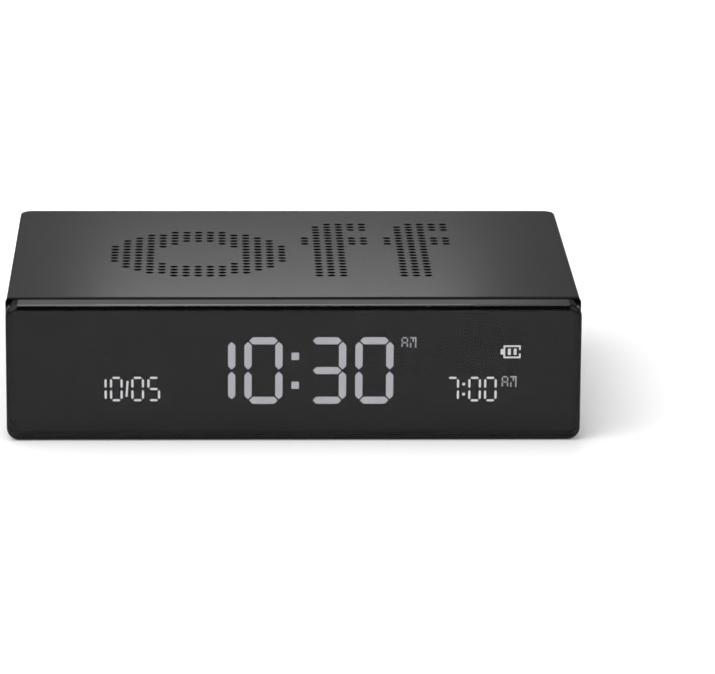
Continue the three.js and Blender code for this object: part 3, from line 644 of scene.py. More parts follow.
def addBatteryMark(bm):
    s = batteryMark
    left, right = s["x"] - s["wide"] / 2, s["x"] + s["wide"] / 2
    low, high = s["z"] - s["high"] / 2, s["z"] + s["high"] / 2
    line, half, passing = s["line"], s["line"] / 2, s["gap"] / 2
    nubLeft, nubHigh = s["nub"]
    barWide, barHigh = s["bar"]
    strokes = [
        ((left, high - half), (right, high - half), line),
        ((left, low + half), (right, low + half), line),
        ((left + half, low + line), (left + half, high - line), line),
        ((right - half, high - line), (right - half, s["z"] + passing), line),
        ((right - half, s["z"] - passing), (right - half, low + line), line),
        ((nubLeft, s["z"]), (left, s["z"]), nubHigh),
    ]
    strokes += [((x, s["z"] - barHigh / 2), (x, s["z"] + barHigh / 2), barWide) for x in s["bars"]]
    for start, end, width in strokes:
        addBar(bm, start, end, width, s["glow"])


def makeSegments():
    bm = bmesh.new()
    for row in displayRows.values():
        for sign, centre in row["signs"]:
            if sign == "M":
                addLetterM(bm, row, centre)
            else:
                addDigit(bm, row, sign, centre)
    for x, z, size, glow in displayDots:
        addBar(bm, (x - size / 2, z), (x + size / 2, z), size, glow)
    addBar(bm, dateSlash["low"], dateSlash["high"], dateSlash["bar"], dateSlash["glow"])
    addBatteryMark(bm)
    finishPiece("display_segments", bm, ["glowBig", "glowSmall", "glowDim"], ())


makeSegments()
print("display lit")


# Perforated plates. A letter is a list of columns, each with its first and last holes from the front.
halfO = [[(5, 10)], [(3, 12)], [(2, 13)], [(1, 14)], [(1, 4), (10, 14)], [(0, 3), (11, 15)]]
letterO = halfO + 3 * [[(0, 3), (12, 15)]] + halfO[::-1]
letterF = [[(11, 13)], [(0, 17)], [(0, 18)], [(0, 18)], [(11, 13), (16, 18)], [(11, 13), (16, 18)]]
letterN = [
    [(0, 11)], [(0, 11)], [(0, 11)], [(8, 10)], [(9, 11)],
    [(9, 11)], [(8, 11)], [(0, 11)], [(0, 10)], [(0, 9)],
]
blankColumn = [[]]
plateWords = {
    "top_plate": {
        "outer": 31.6, "inner": 29.8, "centreX": -2.1, "reads": 1,
        "word": letterO + blankColumn + letterF + blankColumn + letterF,
    },
    "bottom_plate": {
        "outer": 0, "inner": 1.8, "centreX": 0, "reads": -1,
        "word": letterO + blankColumn + letterN,
    },
}
plateSizes = {
    "halfWidth": 65.0, "front": -38.7, "back": 46.5, "corner": 3.0, "cornerSteps": 12, "edge": 0.5,
    "edgeSteps": 4, "edgeTilt": (0.05, 0.985), "innerEdge": 0.15, "innerZone": 2.0, "lipInset": 2.5,
    "lipWide": 1.0, "lipHigh": 1.2, "merge": 0.0005,
}
holeSizes = {
    "pitch": 2.8, "radius": 0.90, "sides": 16, "flare": 0.06, "above": 0.3, "below": 0.6,
    "wordY": 6.56, "rows": 19, "wallArea": 2, "wallTilt": 0.05,
}


def holePlaces(plate):
    s = holeSizes
    places = []
    for column, runs in enumerate(plate["word"]):
        x = plate["centreX"] + plate["reads"] * (column - (len(plate["word"]) - 1) / 2) * s["pitch"]
        for first, last in runs:
            for row in range(first, last + 1):
                places.append((x, s["wordY"] + (row - (s["rows"] - 1) / 2) * s["pitch"]))
    return places


def atPlateEdge(edge):
    s = plateSizes
    middle, reach = edgeMiddle(edge), s["innerZone"]
    atSide = abs(middle.x) > s["halfWidth"] - reach
    return atSide or middle.y > s["back"] - reach or middle.y < s["front"] + reach


def plateBody(outer, inner):
    s = plateSizes
    low, high = sorted((outer, inner))
    bm = bmesh.new()
    addBlock(bm, (-s["halfWidth"], s["front"], low), (s["halfWidth"], s["back"], high))
    bevelEdges(bm, edgesAlong(bm, 2, lambda middle: middle.y > 0), s["corner"], s["cornerSteps"])
    under = faceAt(bm, 2, inner)
    insetFace(bm, under, s["lipInset"])
    ring = insetFace(bm, under, s["lipWide"])
    away = 1 if inner > outer else -1
    pushFaces(bm, ring, (0, 0, away * s["lipHigh"]))
    bevelEdges(bm, rimEdges(bm, 2, outer), s["edge"], s["edgeSteps"])
    bevelEdges(bm, list(filter(atPlateEdge, rimEdges(bm, 2, inner))), s["innerEdge"], 1)
    return bm


def drillBody(outer, inner, places):  # one drill per hole, flared where it leaves the outer face
    s = holeSizes
    bm = bmesh.new()
    up = 1 if outer > inner else -1
    start = inner - up * s["below"]
    neck = outer - up * s["flare"]
    wide = {"radius1": s["radius"] * mm, "radius2": s["radius"] * mm, "depth": abs(neck - start) * mm}
    middle = Matrix.Translation((0, 0, (start + neck) / 2 * mm))
    bmesh.ops.create_cone(bm, cap_ends=True, segments=s["sides"], matrix=middle, **wide)
    rise = s["flare"] + s["above"]
    flared = pushFaces(bm, [faceAt(bm, 2, neck)], (0, 0, up * rise))
    share = 1 + rise / s["radius"]
    bmesh.ops.scale(bm, verts=flared, vec=(share, share, 1))
    turnOutward(bm)
    firstVerts = bm.verts[:]
    drill = firstVerts + bm.edges[:] + bm.faces[:]
    for x, y in places:
        copied = vertsOf(bmesh.ops.duplicate(bm, geom=drill))
        bmesh.ops.translate(bm, verts=copied, vec=(x * mm, y * mm, 0))
    bmesh.ops.delete(bm, geom=firstVerts, context="VERTS")
    return bm


def cutAway(bm, cutter):  # bm less cutter, as a new bmesh
    pair = []
    for name, source in (("blank", bm), ("cutter", cutter)):
        turnOutward(source)
        pair.append(addObject(name, meshFrom(name, source)))
    blank, tool = pair
    cut = blank.modifiers.new("cut", "BOOLEAN")
    cut.operation = "DIFFERENCE"
    cut.solver = "MANIFOLD"
    cut.object = tool
    evaluated = blank.evaluated_get(bpy.context.evaluated_depsgraph_get())
    result = bmesh.new()
    result.from_mesh(evaluated.to_mesh())
    evaluated.to_mesh_clear()
    for thing in pair:
        bpy.data.objects.remove(thing)
    return result


def makePlate(name, plate):
    s, hole = plateSizes, holeSizes
    outer, inner = plate["outer"], plate["inner"]
    bm = cutAway(plateBody(outer, inner), drillBody(outer, inner, holePlaces(plate)))
    bmesh.ops.dissolve_degenerate(bm, dist=s["merge"] * mm, edges=bm.edges[:])
    flattest, steepest = s["edgeTilt"]
    for face in bm.faces:
        x, y, z = faceMiddle(face)
        tilt = abs(face.normal.z)
        atRim = abs(x) > s["halfWidth"] - s["corner"] or y > s["back"] - s["corner"]
        # hole walls take the near-black recess finish, painted shade
        inHole = tilt < hole["wallTilt"] and face.calc_area() < hole["wallArea"] * mm * mm and not atRim
        # the rounded outer edges take the darker rim tone, painted shade
        atEdge = atRim and abs(z - outer) < s["edge"] and flattest < tilt < steepest
        face.material_index = 2 if inHole else int(atEdge)
    finishPiece(name + "_drilled", bm, ["satinPlate", "rimPaintedShade", "recessShadeBlack"], [name])


for name, plate in plateWords.items():
    makePlate(name, plate)
print("plates drilled")


# Copies of CAD pieces whose outer edges get broken
shellRims = {"side": 64, "back": 45.5, "ledges": (2, 29.6), "outer": 46.5, "panel": 45.7, "round": 0.2}
bezelRims = {"side": 64.4, "below": 1, "above": 30.6, "front": -40.1, "back": -38.9, "round": 0.1}


def brokenCopy(node, piece, finish, chosen, width, segments, body="case"):
    bm = bmesh.new()
    bm.from_mesh(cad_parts[node].data)
    bmesh.ops.remove_doubles(bm, verts=bm.verts[:], dist=0.001 * mm)
    bmesh.ops.dissolve_limit(bm, angle_limit=math.radians(1), verts=bm.verts[:], edges=bm.edges[:])
    bevelEdges(bm, list(filter(chosen, bm.edges)), width, segments)
    finishPiece(piece, bm, [finish], [node], body=body)


def shellEdge(edge):
    s = shellRims
    middle = edgeMiddle(edge)
    outside = abs(middle.x) > s["side"] or middle.y > s["back"]
    return (outside and sharpOn(2, *s["ledges"])(edge)) or sharpOn(1, s["outer"])(edge)


def bezelEdge(edge):
    s = bezelRims
    middle = edgeMiddle(edge)
    outside = abs(middle.x) > s["side"] or not s["below"] <= middle.z <= s["above"]
    return outside and sharpOn(1, s["front"], s["back"])(edge)


def dressShell():
    s = shellRims
    panelEdge = sharpOn(1, s["panel"])
    brokenCopy("mid_frame", "mid_frame_shell", "satinBody", shellEdge, s["round"], 2)
    brokenCopy("rear_panel", "rear_panel_cover", "satinBody", panelEdge, s["round"], 2)
    width = bezelRims["round"]
    # the bezel's near-black finish darkens the groove between lens and body as painted shade
    brokenCopy("display_bezel", "display_bezel_frame", "recessShadeBlack", bezelEdge, width, 2)


dressShell()
print("frame, panel and bezel dressed")


# Keys: pill caps with a rounded rim and a printed mark, and the switches behind them
keyPlaces = {"time": -36.0, "alarm": -20.0, "minus": 20.0, "plus": 36.0}
keyLook = {"face": 46.2, "z": 15.77, "round": 0.5, "proud": 0.05, "line": 0.32, "reach": 1.0}
switchLook = {"back": 37.2, "round": 0.3}
clockLook = {"radius": 1.2, "line": 0.224, "up": 0.75, "across": 0.6}
bellLook = {
    "crown": 0.62, "brim": 0.98, "low": -0.62, "high": 0.45, "skirt": 0.35, "clapper": 0.3, "drop": 0.32,
    "turns": range(0, 181, 15),
}


def markPoint(x, z):  # as seen from behind the clock, where right is towards minus X
    return (-x, keyLook["face"] + keyLook["proud"], z)


def addMark(bm, outline):
    addSlab(bm, [markPoint(x, z) for x, z in outline], (0, -2 * keyLook["proud"], 0))


def addMarkBar(bm, x0, z0, x1, z1):
    half = keyLook["line"] / 2
    if abs(x1 - x0) > abs(z1 - z0):
        addMark(bm, [(x0, z0 - half), (x1, z0 - half), (x1, z0 + half), (x0, z0 + half)])
    else:
        addMark(bm, [(x0 - half, z0), (x0 + half, z0), (x0 + half, z1), (x0 - half, z1)])


def addMarkRing(bm, radius, width):
    place = Matrix.Translation(Vector(markPoint(0, 0)) * mm) @ turned(-90, "X")
    bmesh.ops.create_circle(bm, cap_ends=True, segments=32, radius=radius * mm, matrix=place)
    disc = bm.faces[:]
    bmesh.ops.inset_region(bm, faces=disc, thickness=width * mm, use_boundary=True, use_even_offset=True)
    bmesh.ops.delete(bm, geom=disc, context="FACES_ONLY")
    pushFaces(bm, bm.faces[:], (0, -2 * keyLook["proud"], 0))


def markPlus(bm):
    reach, half = keyLook["reach"], keyLook["line"] / 2
    corner = [(-half, -half), (-half, -reach), (half, -reach), (half, -half), (reach, -half), (reach, half)]
    addMark(bm, corner + [(-x, -z) for x, z in corner])


def markMinus(bm):
    addMarkBar(bm, -keyLook["reach"], 0, keyLook["reach"], 0)


def markClock(bm):
    s, half = clockLook, keyLook["line"] / 2
    addMarkRing(bm, s["radius"], s["line"])
    addMarkBar(bm, 0, -half, 0, s["up"])
    addMarkBar(bm, half, 0, s["across"], 0)


def markBell(bm):
    s = bellLook
    crown, turns = s["crown"], map(math.radians, s["turns"])
    dome = [(crown * math.cos(turn), s["high"] + crown * math.sin(turn)) for turn in turns]
    right = [(s["brim"], s["low"]), (s["crown"], s["low"] + s["skirt"])]
    addMark(bm, right + dome + [(-x, z) for x, z in reversed(right)])
    addMarkBar(bm, -s["clapper"], s["low"] - s["drop"], s["clapper"], s["low"] - s["drop"])


def makeKey(key, drawMark):
    onFace, onCan = sharpOn(1, keyLook["face"]), sharpOn(1, switchLook["back"])
    cap, body = f"{key}_key_cap", f"{key}_key"
    brokenCopy(f"{key}_button", cap, "keyRubber", onFace, keyLook["round"], 5, body)
    marks = bmesh.new()
    drawMark(marks)
    bmesh.ops.translate(marks, verts=marks.verts[:], vec=(keyPlaces[key] * mm, 0, keyLook["z"] * mm))
    finishPiece(f"{key}_key_mark", marks, ["markPrint"], body=body)
    brokenCopy(f"{key}_switch", f"{key}_switch_can", "steel", onCan, switchLook["round"], 3)


makeKey("time", markClock)
makeKey("alarm", markBell)
makeKey("minus", markMinus)
makeKey("plus", markPlus)
print("keys made")


# Charging socket: drawn shell, tongue and its contacts
socketLook = {"mouth": 45.5, "mouthRound": 0.08, "tip": 43.55, "tipRound": 0.18}
contactLook = {"count": 12, "pitch": 0.5, "wide": 0.28, "long": 3.3, "proud": 0.03, "fromTip": 0.35}


def makeContacts():
    s = contactLook
    low, high = boxOf("usb_tongue")
    bm = bmesh.new()
    half, end, proud = s["wide"] / 2, high.y - s["fromTip"], s["proud"]
    for number in range(s["count"]):
        x = (number - (s["count"] - 1) / 2) * s["pitch"]
        for z in (low.z - proud, high.z - proud):
            addBlock(bm, (x - half, end - s["long"], z), (x + half, end, z + 2 * proud))
    finishPiece("usb_contacts", bm, ["gold"], ())


def makeSocket():
    s = socketLook
    mouth, tip = sharpOn(1, s["mouth"]), sharpOn(1, s["tip"])
    brokenCopy("usb_shell", "usb_shell_drawn", "steel", mouth, s["mouthRound"], 2)
    brokenCopy("usb_tongue", "usb_tongue_moulded", "chipBlack", tip, s["tipRound"], 3)
    makeContacts()


makeSocket()
print("socket made")


# Board: chips with gull-wing leads, small ceramic parts and gold pads
boardTop = 14.07
chipLook = {
    "out": 0.45, "foot": 0.55, "thick": 0.14, "wide": 0.30, "pitch": 0.65, "shoulder": 0.62,
    "lift": 0.02, "sunk": 0.1, "round": 0.15,
}
smallLook = {
    "long": 1.6, "wide": 0.8, "high": 0.55, "end": 0.35, "endLift": 0.02, "endRound": 0.06,
    "overlap": 0.05, "slimmer": 0.03, "lift": 0.08,
}
smallParts = (
    (-23.5, 13.0, 0), (-23.5, 15.6, 0), (-23.5, 28.4, 0), (-5.9, 12.2, 90), (-2.6, 12.2, 90), (7.6, 17.0, 0),
    (7.6, 19.4, 0), (7.6, 24.2, 0), (20.4, 17.2, 0), (20.4, 20.8, 0), (20.4, 24.4, 0), (13.0, 29.2, 90),
    (9.2, 33.4, 90), (-9.2, 33.4, 90), (34.4, 14.2, 0), (34.4, 16.8, 0), (38.0, 14.2, 0), (-48.6, 16.4, 90),
)
padLook = {"foot": 0.7, "top": 0.65, "thick": 0.03, "lift": 0.02, "sides": 24}
padPlaces = (
    (-44, 10), (-40, 10), (46, 24), (49, 24), (52, 24), (46, 28), (49, 28), (52, 28), (-52, 24), (-52, 28),
)


def addLead(bm, centre, half, offset, quarter):
    s = chipLook
    shoulder, foot = boardTop + s["shoulder"], boardTop + s["lift"]
    root, reach, toe, thick = half - s["sunk"], half + s["out"], half + s["out"] + s["foot"], s["thick"]
    profile = [
        (root, shoulder), (reach, shoulder), (reach + thick, foot + thick), (toe, foot + thick),
        (toe, foot), (reach, foot), (reach - thick, shoulder - thick), (root, shoulder - thick),
    ]
    verts = addSlab(bm, [(x, offset - s["wide"] / 2, z) for x, z in profile], (0, s["wide"], 0))
    bmesh.ops.rotate(bm, verts=verts, cent=(0, 0, 0), matrix=turned(90 * quarter, "Z").to_3x3())
    bmesh.ops.translate(bm, verts=verts, vec=(centre.x * mm, centre.y * mm, 0))


def makeChip(node, leads):
    s = chipLook
    low, high = boxOf(node)
    brokenCopy(node, node + "_body", "chipBlack", sharpOn(2, high.z), s["round"], 2)
    bm = bmesh.new()
    half = (high.x - low.x) / 2
    for quarter in range(4):
        for number in range(leads):
            offset = (number - (leads - 1) / 2) * s["pitch"]
            addLead(bm, (low + high) / 2, half, offset, quarter)
    finishPiece(node + "_leads", bm, ["steel"], ())


def makeSmallParts():
    s = smallLook
    bodies, ends = bmesh.new(), bmesh.new()
    half, side, high = s["long"] / 2, s["wide"] / 2, s["high"]
    inner, slim = half - s["end"], side - s["slimmer"]
    reach = inner + s["overlap"]
    for x, y, turn in smallParts:
        away = Matrix.Translation((x * mm, y * mm, boardTop * mm)) @ turned(turn, "Z")
        made = addBlock(bodies, (-reach, -slim, s["lift"]), (reach, slim, high - s["slimmer"]))
        bmesh.ops.transform(bodies, matrix=away, verts=made)
        for near, far in ((-half, -inner), (inner, half)):
            made = addBlock(ends, (near, -side, s["endLift"]), (far, side, high))
            bmesh.ops.transform(ends, matrix=away, verts=made)
    bevelEdges(ends, ends.edges[:], s["endRound"], 2)
    finishPiece("ceramic_parts", bodies, ["ceramic"], ())
    finishPiece("ceramic_part_ends", ends, ["steel"], ())


def makePads():
    s = padLook
    sizes = {"radius1": s["foot"] * mm, "radius2": s["top"] * mm, "depth": s["thick"] * mm}
    bm = bmesh.new()
    for x, y in padPlaces:
        flat = Matrix.Translation((x * mm, y * mm, (boardTop + s["lift"]) * mm))
        bmesh.ops.create_cone(bm, cap_ends=True, segments=s["sides"], matrix=flat, **sizes)
    finishPiece("test_pads", bm, ["gold"], ())


makeChip("clock_chip", 12)
makeChip("charge_chip", 5)
makeSmallParts()
makePads()
print("board filled")


# Battery: foil pouch, amber tape over its terminal end, and the plug with its two mouths
batteryLook = {"corner": 2.2, "cornerSteps": 6, "edge": 0.9, "edgeSteps": 5, "band": 2.6}
bandLook = {"short": 4, "over": 1.5, "inset": 0.5, "round": 0.35}
plugLook = {"wall": 0.75, "deep": 1.6, "round": 0.2}


def makeBattery():
    s, band = batteryLook, bandLook
    low, high = boxOf("battery_cell")
    pouch = bmesh.new()
    addBlock(pouch, low, (high.x, high.y - s["band"], high.z))
    bevelEdges(pouch, edgesAlong(pouch, 2), s["corner"], s["cornerSteps"])
    bevelEdges(pouch, rimEdges(pouch, 2, low.z) + rimEdges(pouch, 2, high.z), s["edge"], s["edgeSteps"])
    finishPiece("battery_pouch", pouch, ["cellFoil"], ["battery_cell"])
    tape = bmesh.new()
    start = (low.x + band["short"], high.y - s["band"] - band["over"], low.z + band["inset"])
    addBlock(tape, start, (high.x - band["short"], high.y, high.z - band["inset"]))
    bevelEdges(tape, tape.edges[:], band["round"], 3)
    finishPiece("battery_terminal_tape", tape, ["amberTape"], ())


def makePlug():
    s = plugLook
    low, high = boxOf("battery_connector")
    bm = bmesh.new()
    addBlock(bm, low, high)
    cutAt(bm, 0, (low.x + high.x) / 2)
    mouths = [face for face in bm.faces if face.normal.y < -0.9]
    bmesh.ops.inset_individual(bm, faces=mouths, thickness=s["wall"] * mm, use_even_offset=True)
    for mouth in mouths:
        pushFaces(bm, [mouth], (0, s["deep"], 0))
    bevelEdges(bm, rimEdges(bm, 2, high.z), s["round"], 2)
    finishPiece("battery_plug", bm, ["whitePlastic"], ["battery_connector"])


makeBattery()
makePlug()
print("battery made")


# Speaker: dust cap, paper cone and rubber surround turned in one, then basket, magnet and tags.
# A profile is pairs of radius and height round the cone's axis.
speakerLook = {"centre": (-37.8, -19.05), "steps": 64, "paper": 0.16, "surroundFrom": 10.5}
tagLook = {"wider": 0.2, "long": 1.6, "past": 0.1, "sunk": 0.02, "high": 0.2, "round": 0.06}
coneProfile = (
    (0, 12.85), (1.2, 12.80), (2.4, 12.62), (3.5, 12.30), (4.3, 11.90), (4.6, 11.62), (4.9, 11.72),
    (6.2, 12.36), (6.4, 12.38), (8.0, 13.16), (8.2, 13.18), (9.8, 13.96), (10.5, 14.28), (10.7, 14.70),
    (11.0, 15.02), (11.4, 15.22), (11.8, 15.24), (12.2, 15.08), (12.5, 14.80), (12.7, 14.66), (12.85, 14.66),
)
basketProfile = (
    (8.5, 8.97), (10.22, 8.97), (10.36, 9.08), (14.4, 15.07), (16.85, 15.07), (17, 15.22), (17, 15.82),
    (16.85, 15.97), (13.65, 15.97), (13.5, 15.85), (9.4, 9.87), (8.5, 9.87), (8.5, 8.97),
)
magnetProfile = ((0, 5.87), (7.8, 5.87), (8.08, 5.99), (8.2, 6.27), (8.2, 9.77), (8.1, 9.87), (0, 9.87))


def turnProfile(profile):
    x, y = speakerLook["centre"]
    bm = bmesh.new()
    verts = [bm.verts.new(((x + radius) * mm, y * mm, z * mm)) for radius, z in profile]
    edges = [bm.edges.new(pair) for pair in zip(verts, verts[1:])]
    fullTurn = {"angle": 2 * math.pi, "steps": speakerLook["steps"], "use_merge": True}
    bmesh.ops.spin(bm, geom=verts + edges, cent=(x * mm, y * mm, 0), axis=(0, 0, 1), **fullTurn)
    bmesh.ops.remove_doubles(bm, verts=bm.verts[:], dist=0.001 * mm)
    return bm


def makeCone():
    s = speakerLook
    bm = turnProfile(coneProfile)
    turnOutward(bm)
    bmesh.ops.solidify(bm, geom=bm.faces[:], thickness=s["paper"] * mm)
    centre = Vector(s["centre"])
    for face in bm.faces:
        face.material_index = int((faceMiddle(face).xy - centre).length > s["surroundFrom"])
    looks = ["conePaper", "keyRubber"]
    finishPiece("speaker_diaphragm", bm, looks, ["speaker_cone"], 60, "cone")


def makeTags():
    s = tagLook
    _, high = boxOf("speaker_basket")
    bm = bmesh.new()
    for lead in ("speaker_lead_red", "speaker_lead_black"):
        leadLow, leadHigh = boxOf(lead)
        start = (leadLow.x - s["wider"], high.y - s["long"], high.z - s["sunk"])
        addBlock(bm, start, (leadHigh.x + s["wider"], high.y + s["past"], high.z + s["high"]))
    bevelEdges(bm, bm.edges[:], s["round"], 2)
    finishPiece("speaker_tags", bm, ["gold"], ())


makeCone()
makeTags()
basket, magnet = turnProfile(basketProfile), turnProfile(magnetProfile)
finishPiece("speaker_basket_pressed", basket, ["basketSteel"], ["speaker_basket"])
finishPiece("speaker_magnet_disc", magnet, ["magnetSteel"], ["speaker_magnet"])
print("speaker made")


# Light strip: a row of small lamps on a narrow board
stripLook = {"lamps": 7, "board": 0.4, "lampHigh": 1.9, "lampDeep": 1.2, "window": 0.25}


def makeStrip():
    s = stripLook
    low, high = boxOf("backlight_board")
    bm = bmesh.new()
    addBlock(bm, low, (low.x + s["board"], high.y, high.z))
    pitch, middle = (high.z - low.z) / s["lamps"], (low.y + high.y) / 2
    deep, tall = s["lampDeep"] / 2, s["lampHigh"] / 2
    for number in range(s["lamps"]):
        z = low.z + (number + 0.5) * pitch
        older = set(bm.faces)
        addBlock(bm, (low.x + s["board"], middle - deep, z - tall), (high.x, middle + deep, z + tall))
        fresh = [face for face in bm.faces if face not in older]
        bmesh.ops.recalc_face_normals(bm, faces=fresh)
        glass = [face for face in fresh if face.normal.x > 0.9]
        bmesh.ops.inset_individual(bm, faces=glass, thickness=s["window"] * mm, use_even_offset=True)
        for face in set(bm.faces) - older:
            face.material_index = 1
        for face in glass:
            face.material_index = 2
    looks = ["circuitBoard", "whitePlastic", "phosphor"]
    finishPiece("backlight_strip", bm, looks, ["backlight_board"])


makeStrip()
print("light strip made")


# Tilt switch and screws
cageLook = {"tilt_cage": 21.37, "tilt_cap": 22.27, "round": 0.2}
screwRims = {"bezel": (1, -41.5, ("lower", "upper")), "board": (2, 15.47, ("front", "rear"))}
screwRound = 0.15


def makeBall():
    low, high = (Vector(corner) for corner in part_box("tilt_ball"))
    bm = bmesh.new()
    centre = Matrix.Translation((low + high) / 2)
    bmesh.ops.create_icosphere(bm, subdivisions=4, radius=(high.x - low.x) / 2, matrix=centre)
    finishPiece("tilt_ball_ground", bm, ["steel"], ["tilt_ball"], 60, "ball")


def makeScrews(kind):
    axis, level, rows = screwRims[kind]
    for side in ("left", "right"):
        for row in rows:
            node = f"{kind}_screw_{side}_{row}"
            rim = sharpOn(axis, level)
            brokenCopy(node, node + "_turned", "steel", rim, screwRound, 3)


for node in ("tilt_cage", "tilt_cap"):
    cageRim = sharpOn(2, cageLook[node])
    brokenCopy(node, node + "_moulded", "chipBlack", cageRim, cageLook["round"], 2)
makeBall()
makeScrews("bezel")
makeScrews("board")
print("switch and screws made")


# CAD nodes that keep their shape and take a finish
nodeFinishes = {
    "polariser": ["front_polariser", "rear_polariser"],
    "displayGlass": ["lcd_front_glass", "lcd_rear_glass"],
    "diffuser": ["diffuser_sheet"],
    "lightGuide": ["light_guide"],
    "reflector": ["reflector_sheet"],
    "whitePlastic": ["lcd_connector"],
    "ribbonFilm": ["lcd_flex"],
    "copperFoil": ["touch_foil"],
    "circuitBoard": ["main_board"],
    "dustCloth": ["upper_dust_mesh", "lower_dust_mesh"],
    "steel": ["quartz_crystal"],
    "foam": ["speaker_gasket", "battery_tape"],
    "redLead": ["battery_lead_red", "speaker_lead_red"],
    "blackLead": ["battery_lead_black", "speaker_lead_black"],
    "blackFrame": [key + "_plunger" for key in keyPlaces],
}
for finish, nodes in nodeFinishes.items():
    for node in nodes:
        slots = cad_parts[node].data.materials
        slots.clear()
        slots.append(finishes[finish])
print("CAD nodes finished:", sum(len(nodes) for nodes in nodeFinishes.values()))


# Studio: a pale floor, a sky with soft lights in it, and two lamps
floorLook = {
    "colour": 0.90, "roughness": 0.6, "mirror": 0.1, "half": 6.0, "gap": 0.00005,
    "seen": 0.15, "seenShadowFade": 0.006, "hole": 0.0016, "holeFade": 0.0001,
}
skyLook = {
    "below": 0.6, "low": 0.10, "lowFront": 0.3, "band": 0.55,
    "front": 1.5, "slot": 0.02, "back": 0.15, "box": 1.8, "strip": 6.5,
}
skyEdges = {
    "horizon": (-0.01, 0), "upper": (0.29, 0.34), "lowBack": (-0.2, 0.2), "upperBack": (-0.1, 0.1),
    "slot": (0.09, 0.20), "boxBottom": (0.50, 0.64), "boxNear": (0.02, 0.14), "boxRight": (-0.03, 0.13),
    "strip": (-0.07, -0.045, 0.0, 0.10), "band": (0.215, 0.230, 0.275, 0.290),
    "bandSides": (-0.07, -0.04, 0.06, 0.09),
}
lampSetup = {
    "card": {"place": (0.004, 0.36, 0.186), "aim": (0.004, 0, 0.03), "size": (0.12, 0.070), "power": 0.067},
    "left": {"place": (-0.67, -0.39, 0.92), "aim": (0, 0, 0.02), "size": (0.9, 0.9), "power": 4.3},
}


def pastClock(tree, inset, soft):  # 0 under the clock, 1 past its edge
    point = addNode(tree, "ShaderNodeSeparateXYZ", Vector=objectPoint(tree))
    sides = []
    for number, axis in enumerate("XY"):
        low, high = cadBox[0][number], cadBox[1][number]
        away = joinMath(tree, "SUBTRACT", point.outputs[axis], (low + high) / 2)
        edge = (high - low) / 2 - inset
        sides.append(spread(tree, joinMath(tree, "ABSOLUTE", away), 0, 1, edge - soft, edge + soft))
    return joinMath(tree, "MAXIMUM", *sides)


def makeFloorLook():  # lifted to white where it is seen or mirrored, less near the clock as a painted shadow, open from below and under the clock
    s = floorLook
    material, tree, shader = startMaterial("paleFloor")
    rays = addNode(tree, "ShaderNodeLightPath").outputs
    mirrored = joinMath(tree, "MAXIMUM", rays["Is Glossy Ray"], rays["Is Transmission Ray"])
    seen = joinMath(tree, "MAXIMUM", rays["Is Camera Ray"], mirrored)
    # the lift fades out across the clock's edge, which paints a soft contact shadow round it
    seen = joinMath(tree, "MULTIPLY", seen, pastClock(tree, 0, s["seenShadowFade"]))
    lift = joinMath(tree, "MULTIPLY", seen, s["seen"])
    setInputs(tree, shader, Base_Color=shade(s["colour"]), Roughness=s["roughness"])
    setInputs(tree, shader, Specular_IOR_Level=s["mirror"], Emission_Color=shade(1), Emission_Strength=lift)
    covered = joinMath(tree, "SUBTRACT", 1.0, pastClock(tree, s["hole"], s["holeFade"]))
    facing = addNode(tree, "ShaderNodeNewGeometry")
    passing = joinMath(tree, "MAXIMUM", facing.outputs["Backfacing"], covered)
    clear = addNode(tree, "ShaderNodeBsdfTransparent")
    mixed = addNode(tree, "ShaderNodeMixShader")
    for socket, output in zip(mixed.inputs, (passing, shader.outputs[0], clear.outputs[0])):
        tree.links.new(output, socket)
    tree.links.new(mixed.outputs[0], tree.nodes["Material Output"].inputs["Surface"])
    return material


def makeFloor():
    bm = bmesh.new()
    level = Matrix.Translation((0, 0, -floorLook["gap"]))
    bmesh.ops.create_grid(bm, x_segments=1, y_segments=1, size=floorLook["half"], matrix=level)
    floor = addObject("floor", meshFrom("floor", bm))
    floor.data.materials.append(makeFloorLook())


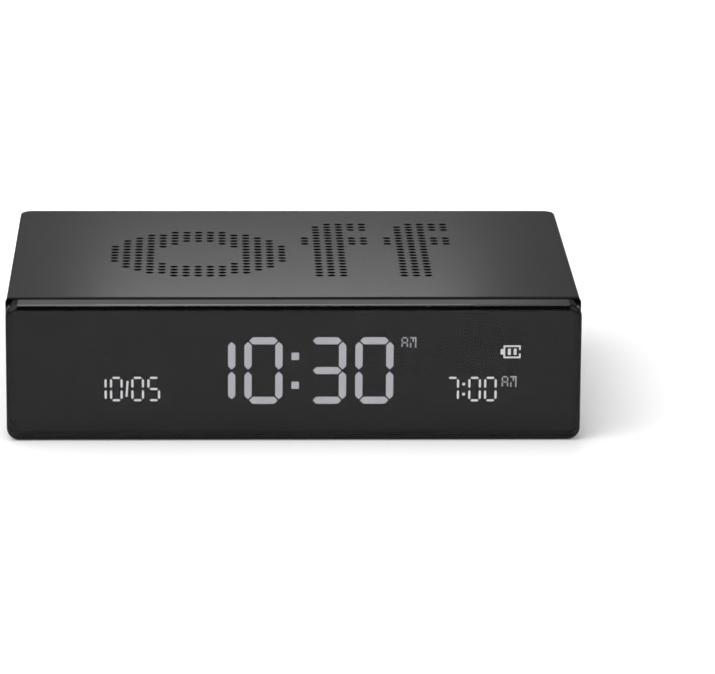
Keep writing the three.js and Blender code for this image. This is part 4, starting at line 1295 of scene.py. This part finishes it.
def makeSky():
    world = bpy.data.worlds.new("studio")
    world.use_nodes = True
    tree = world.node_tree
    place = addNode(tree, "ShaderNodeTexCoord")
    parts = addNode(tree, "ShaderNodeSeparateXYZ", Vector=place.outputs["Generated"])
    aside, away, height = (parts.outputs[axis] for axis in "XYZ")
    level = {name: shade(strength) for name, strength in skyLook.items()}

    def ramp(value, name, low=0, high=1):
        return spread(tree, value, low, high, *skyEdges[name])

    def window(value, name):
        rise, full, fade, end = skyEdges[name]
        opens = spread(tree, value, 0, 1, rise, full)
        return joinMath(tree, "MULTIPLY", opens, spread(tree, value, 1, 0, fade, end))

    fromMiddle = ramp(joinMath(tree, "ABSOLUTE", aside), "slot")
    front = blendColours(tree, fromMiddle, level["slot"], level["front"])
    upper = blendColours(tree, ramp(away, "upperBack"), front, level["back"])
    behind = joinMath(tree, "MULTIPLY", ramp(away, "boxNear"), ramp(height, "boxBottom"))
    inBox = joinMath(tree, "MULTIPLY", behind, ramp(aside, "boxRight", 1, 0))
    upper = blendColours(tree, inBox, upper, level["box"])
    inStrip = joinMath(tree, "MULTIPLY", behind, window(aside, "strip"))
    upper = blendColours(tree, inStrip, upper, level["strip"])
    inBand = joinMath(tree, "MULTIPLY", window(height, "band"), window(aside, "bandSides"))
    low = blendColours(tree, inBand, level["low"], level["band"])
    low = blendColours(tree, ramp(away, "lowBack"), level["lowFront"], low)
    sky = blendColours(tree, ramp(height, "upper"), low, upper)
    colour = blendColours(tree, ramp(height, "horizon"), level["below"], sky)
    tree.links.new(colour, tree.nodes["Background"].inputs["Color"])
    scene.world = world


def makeLamps():
    for name, lamp in lampSetup.items():
        data = bpy.data.lights.new(name, "AREA")
        data.shape = "RECTANGLE"
        data.size, data.size_y = lamp["size"]
        data.energy = lamp["power"]
        box = addObject(name, data)
        box.visible_camera = False
        box.location = lamp["place"]
        aim = Vector(lamp["aim"]) - Vector(lamp["place"])
        box.rotation_mode = "QUATERNION"
        box.rotation_quaternion = aim.to_track_quat("-Z", "Y")


makeFloor()
makeSky()
makeLamps()
scene.view_settings.view_transform = "Standard"
print("studio set")
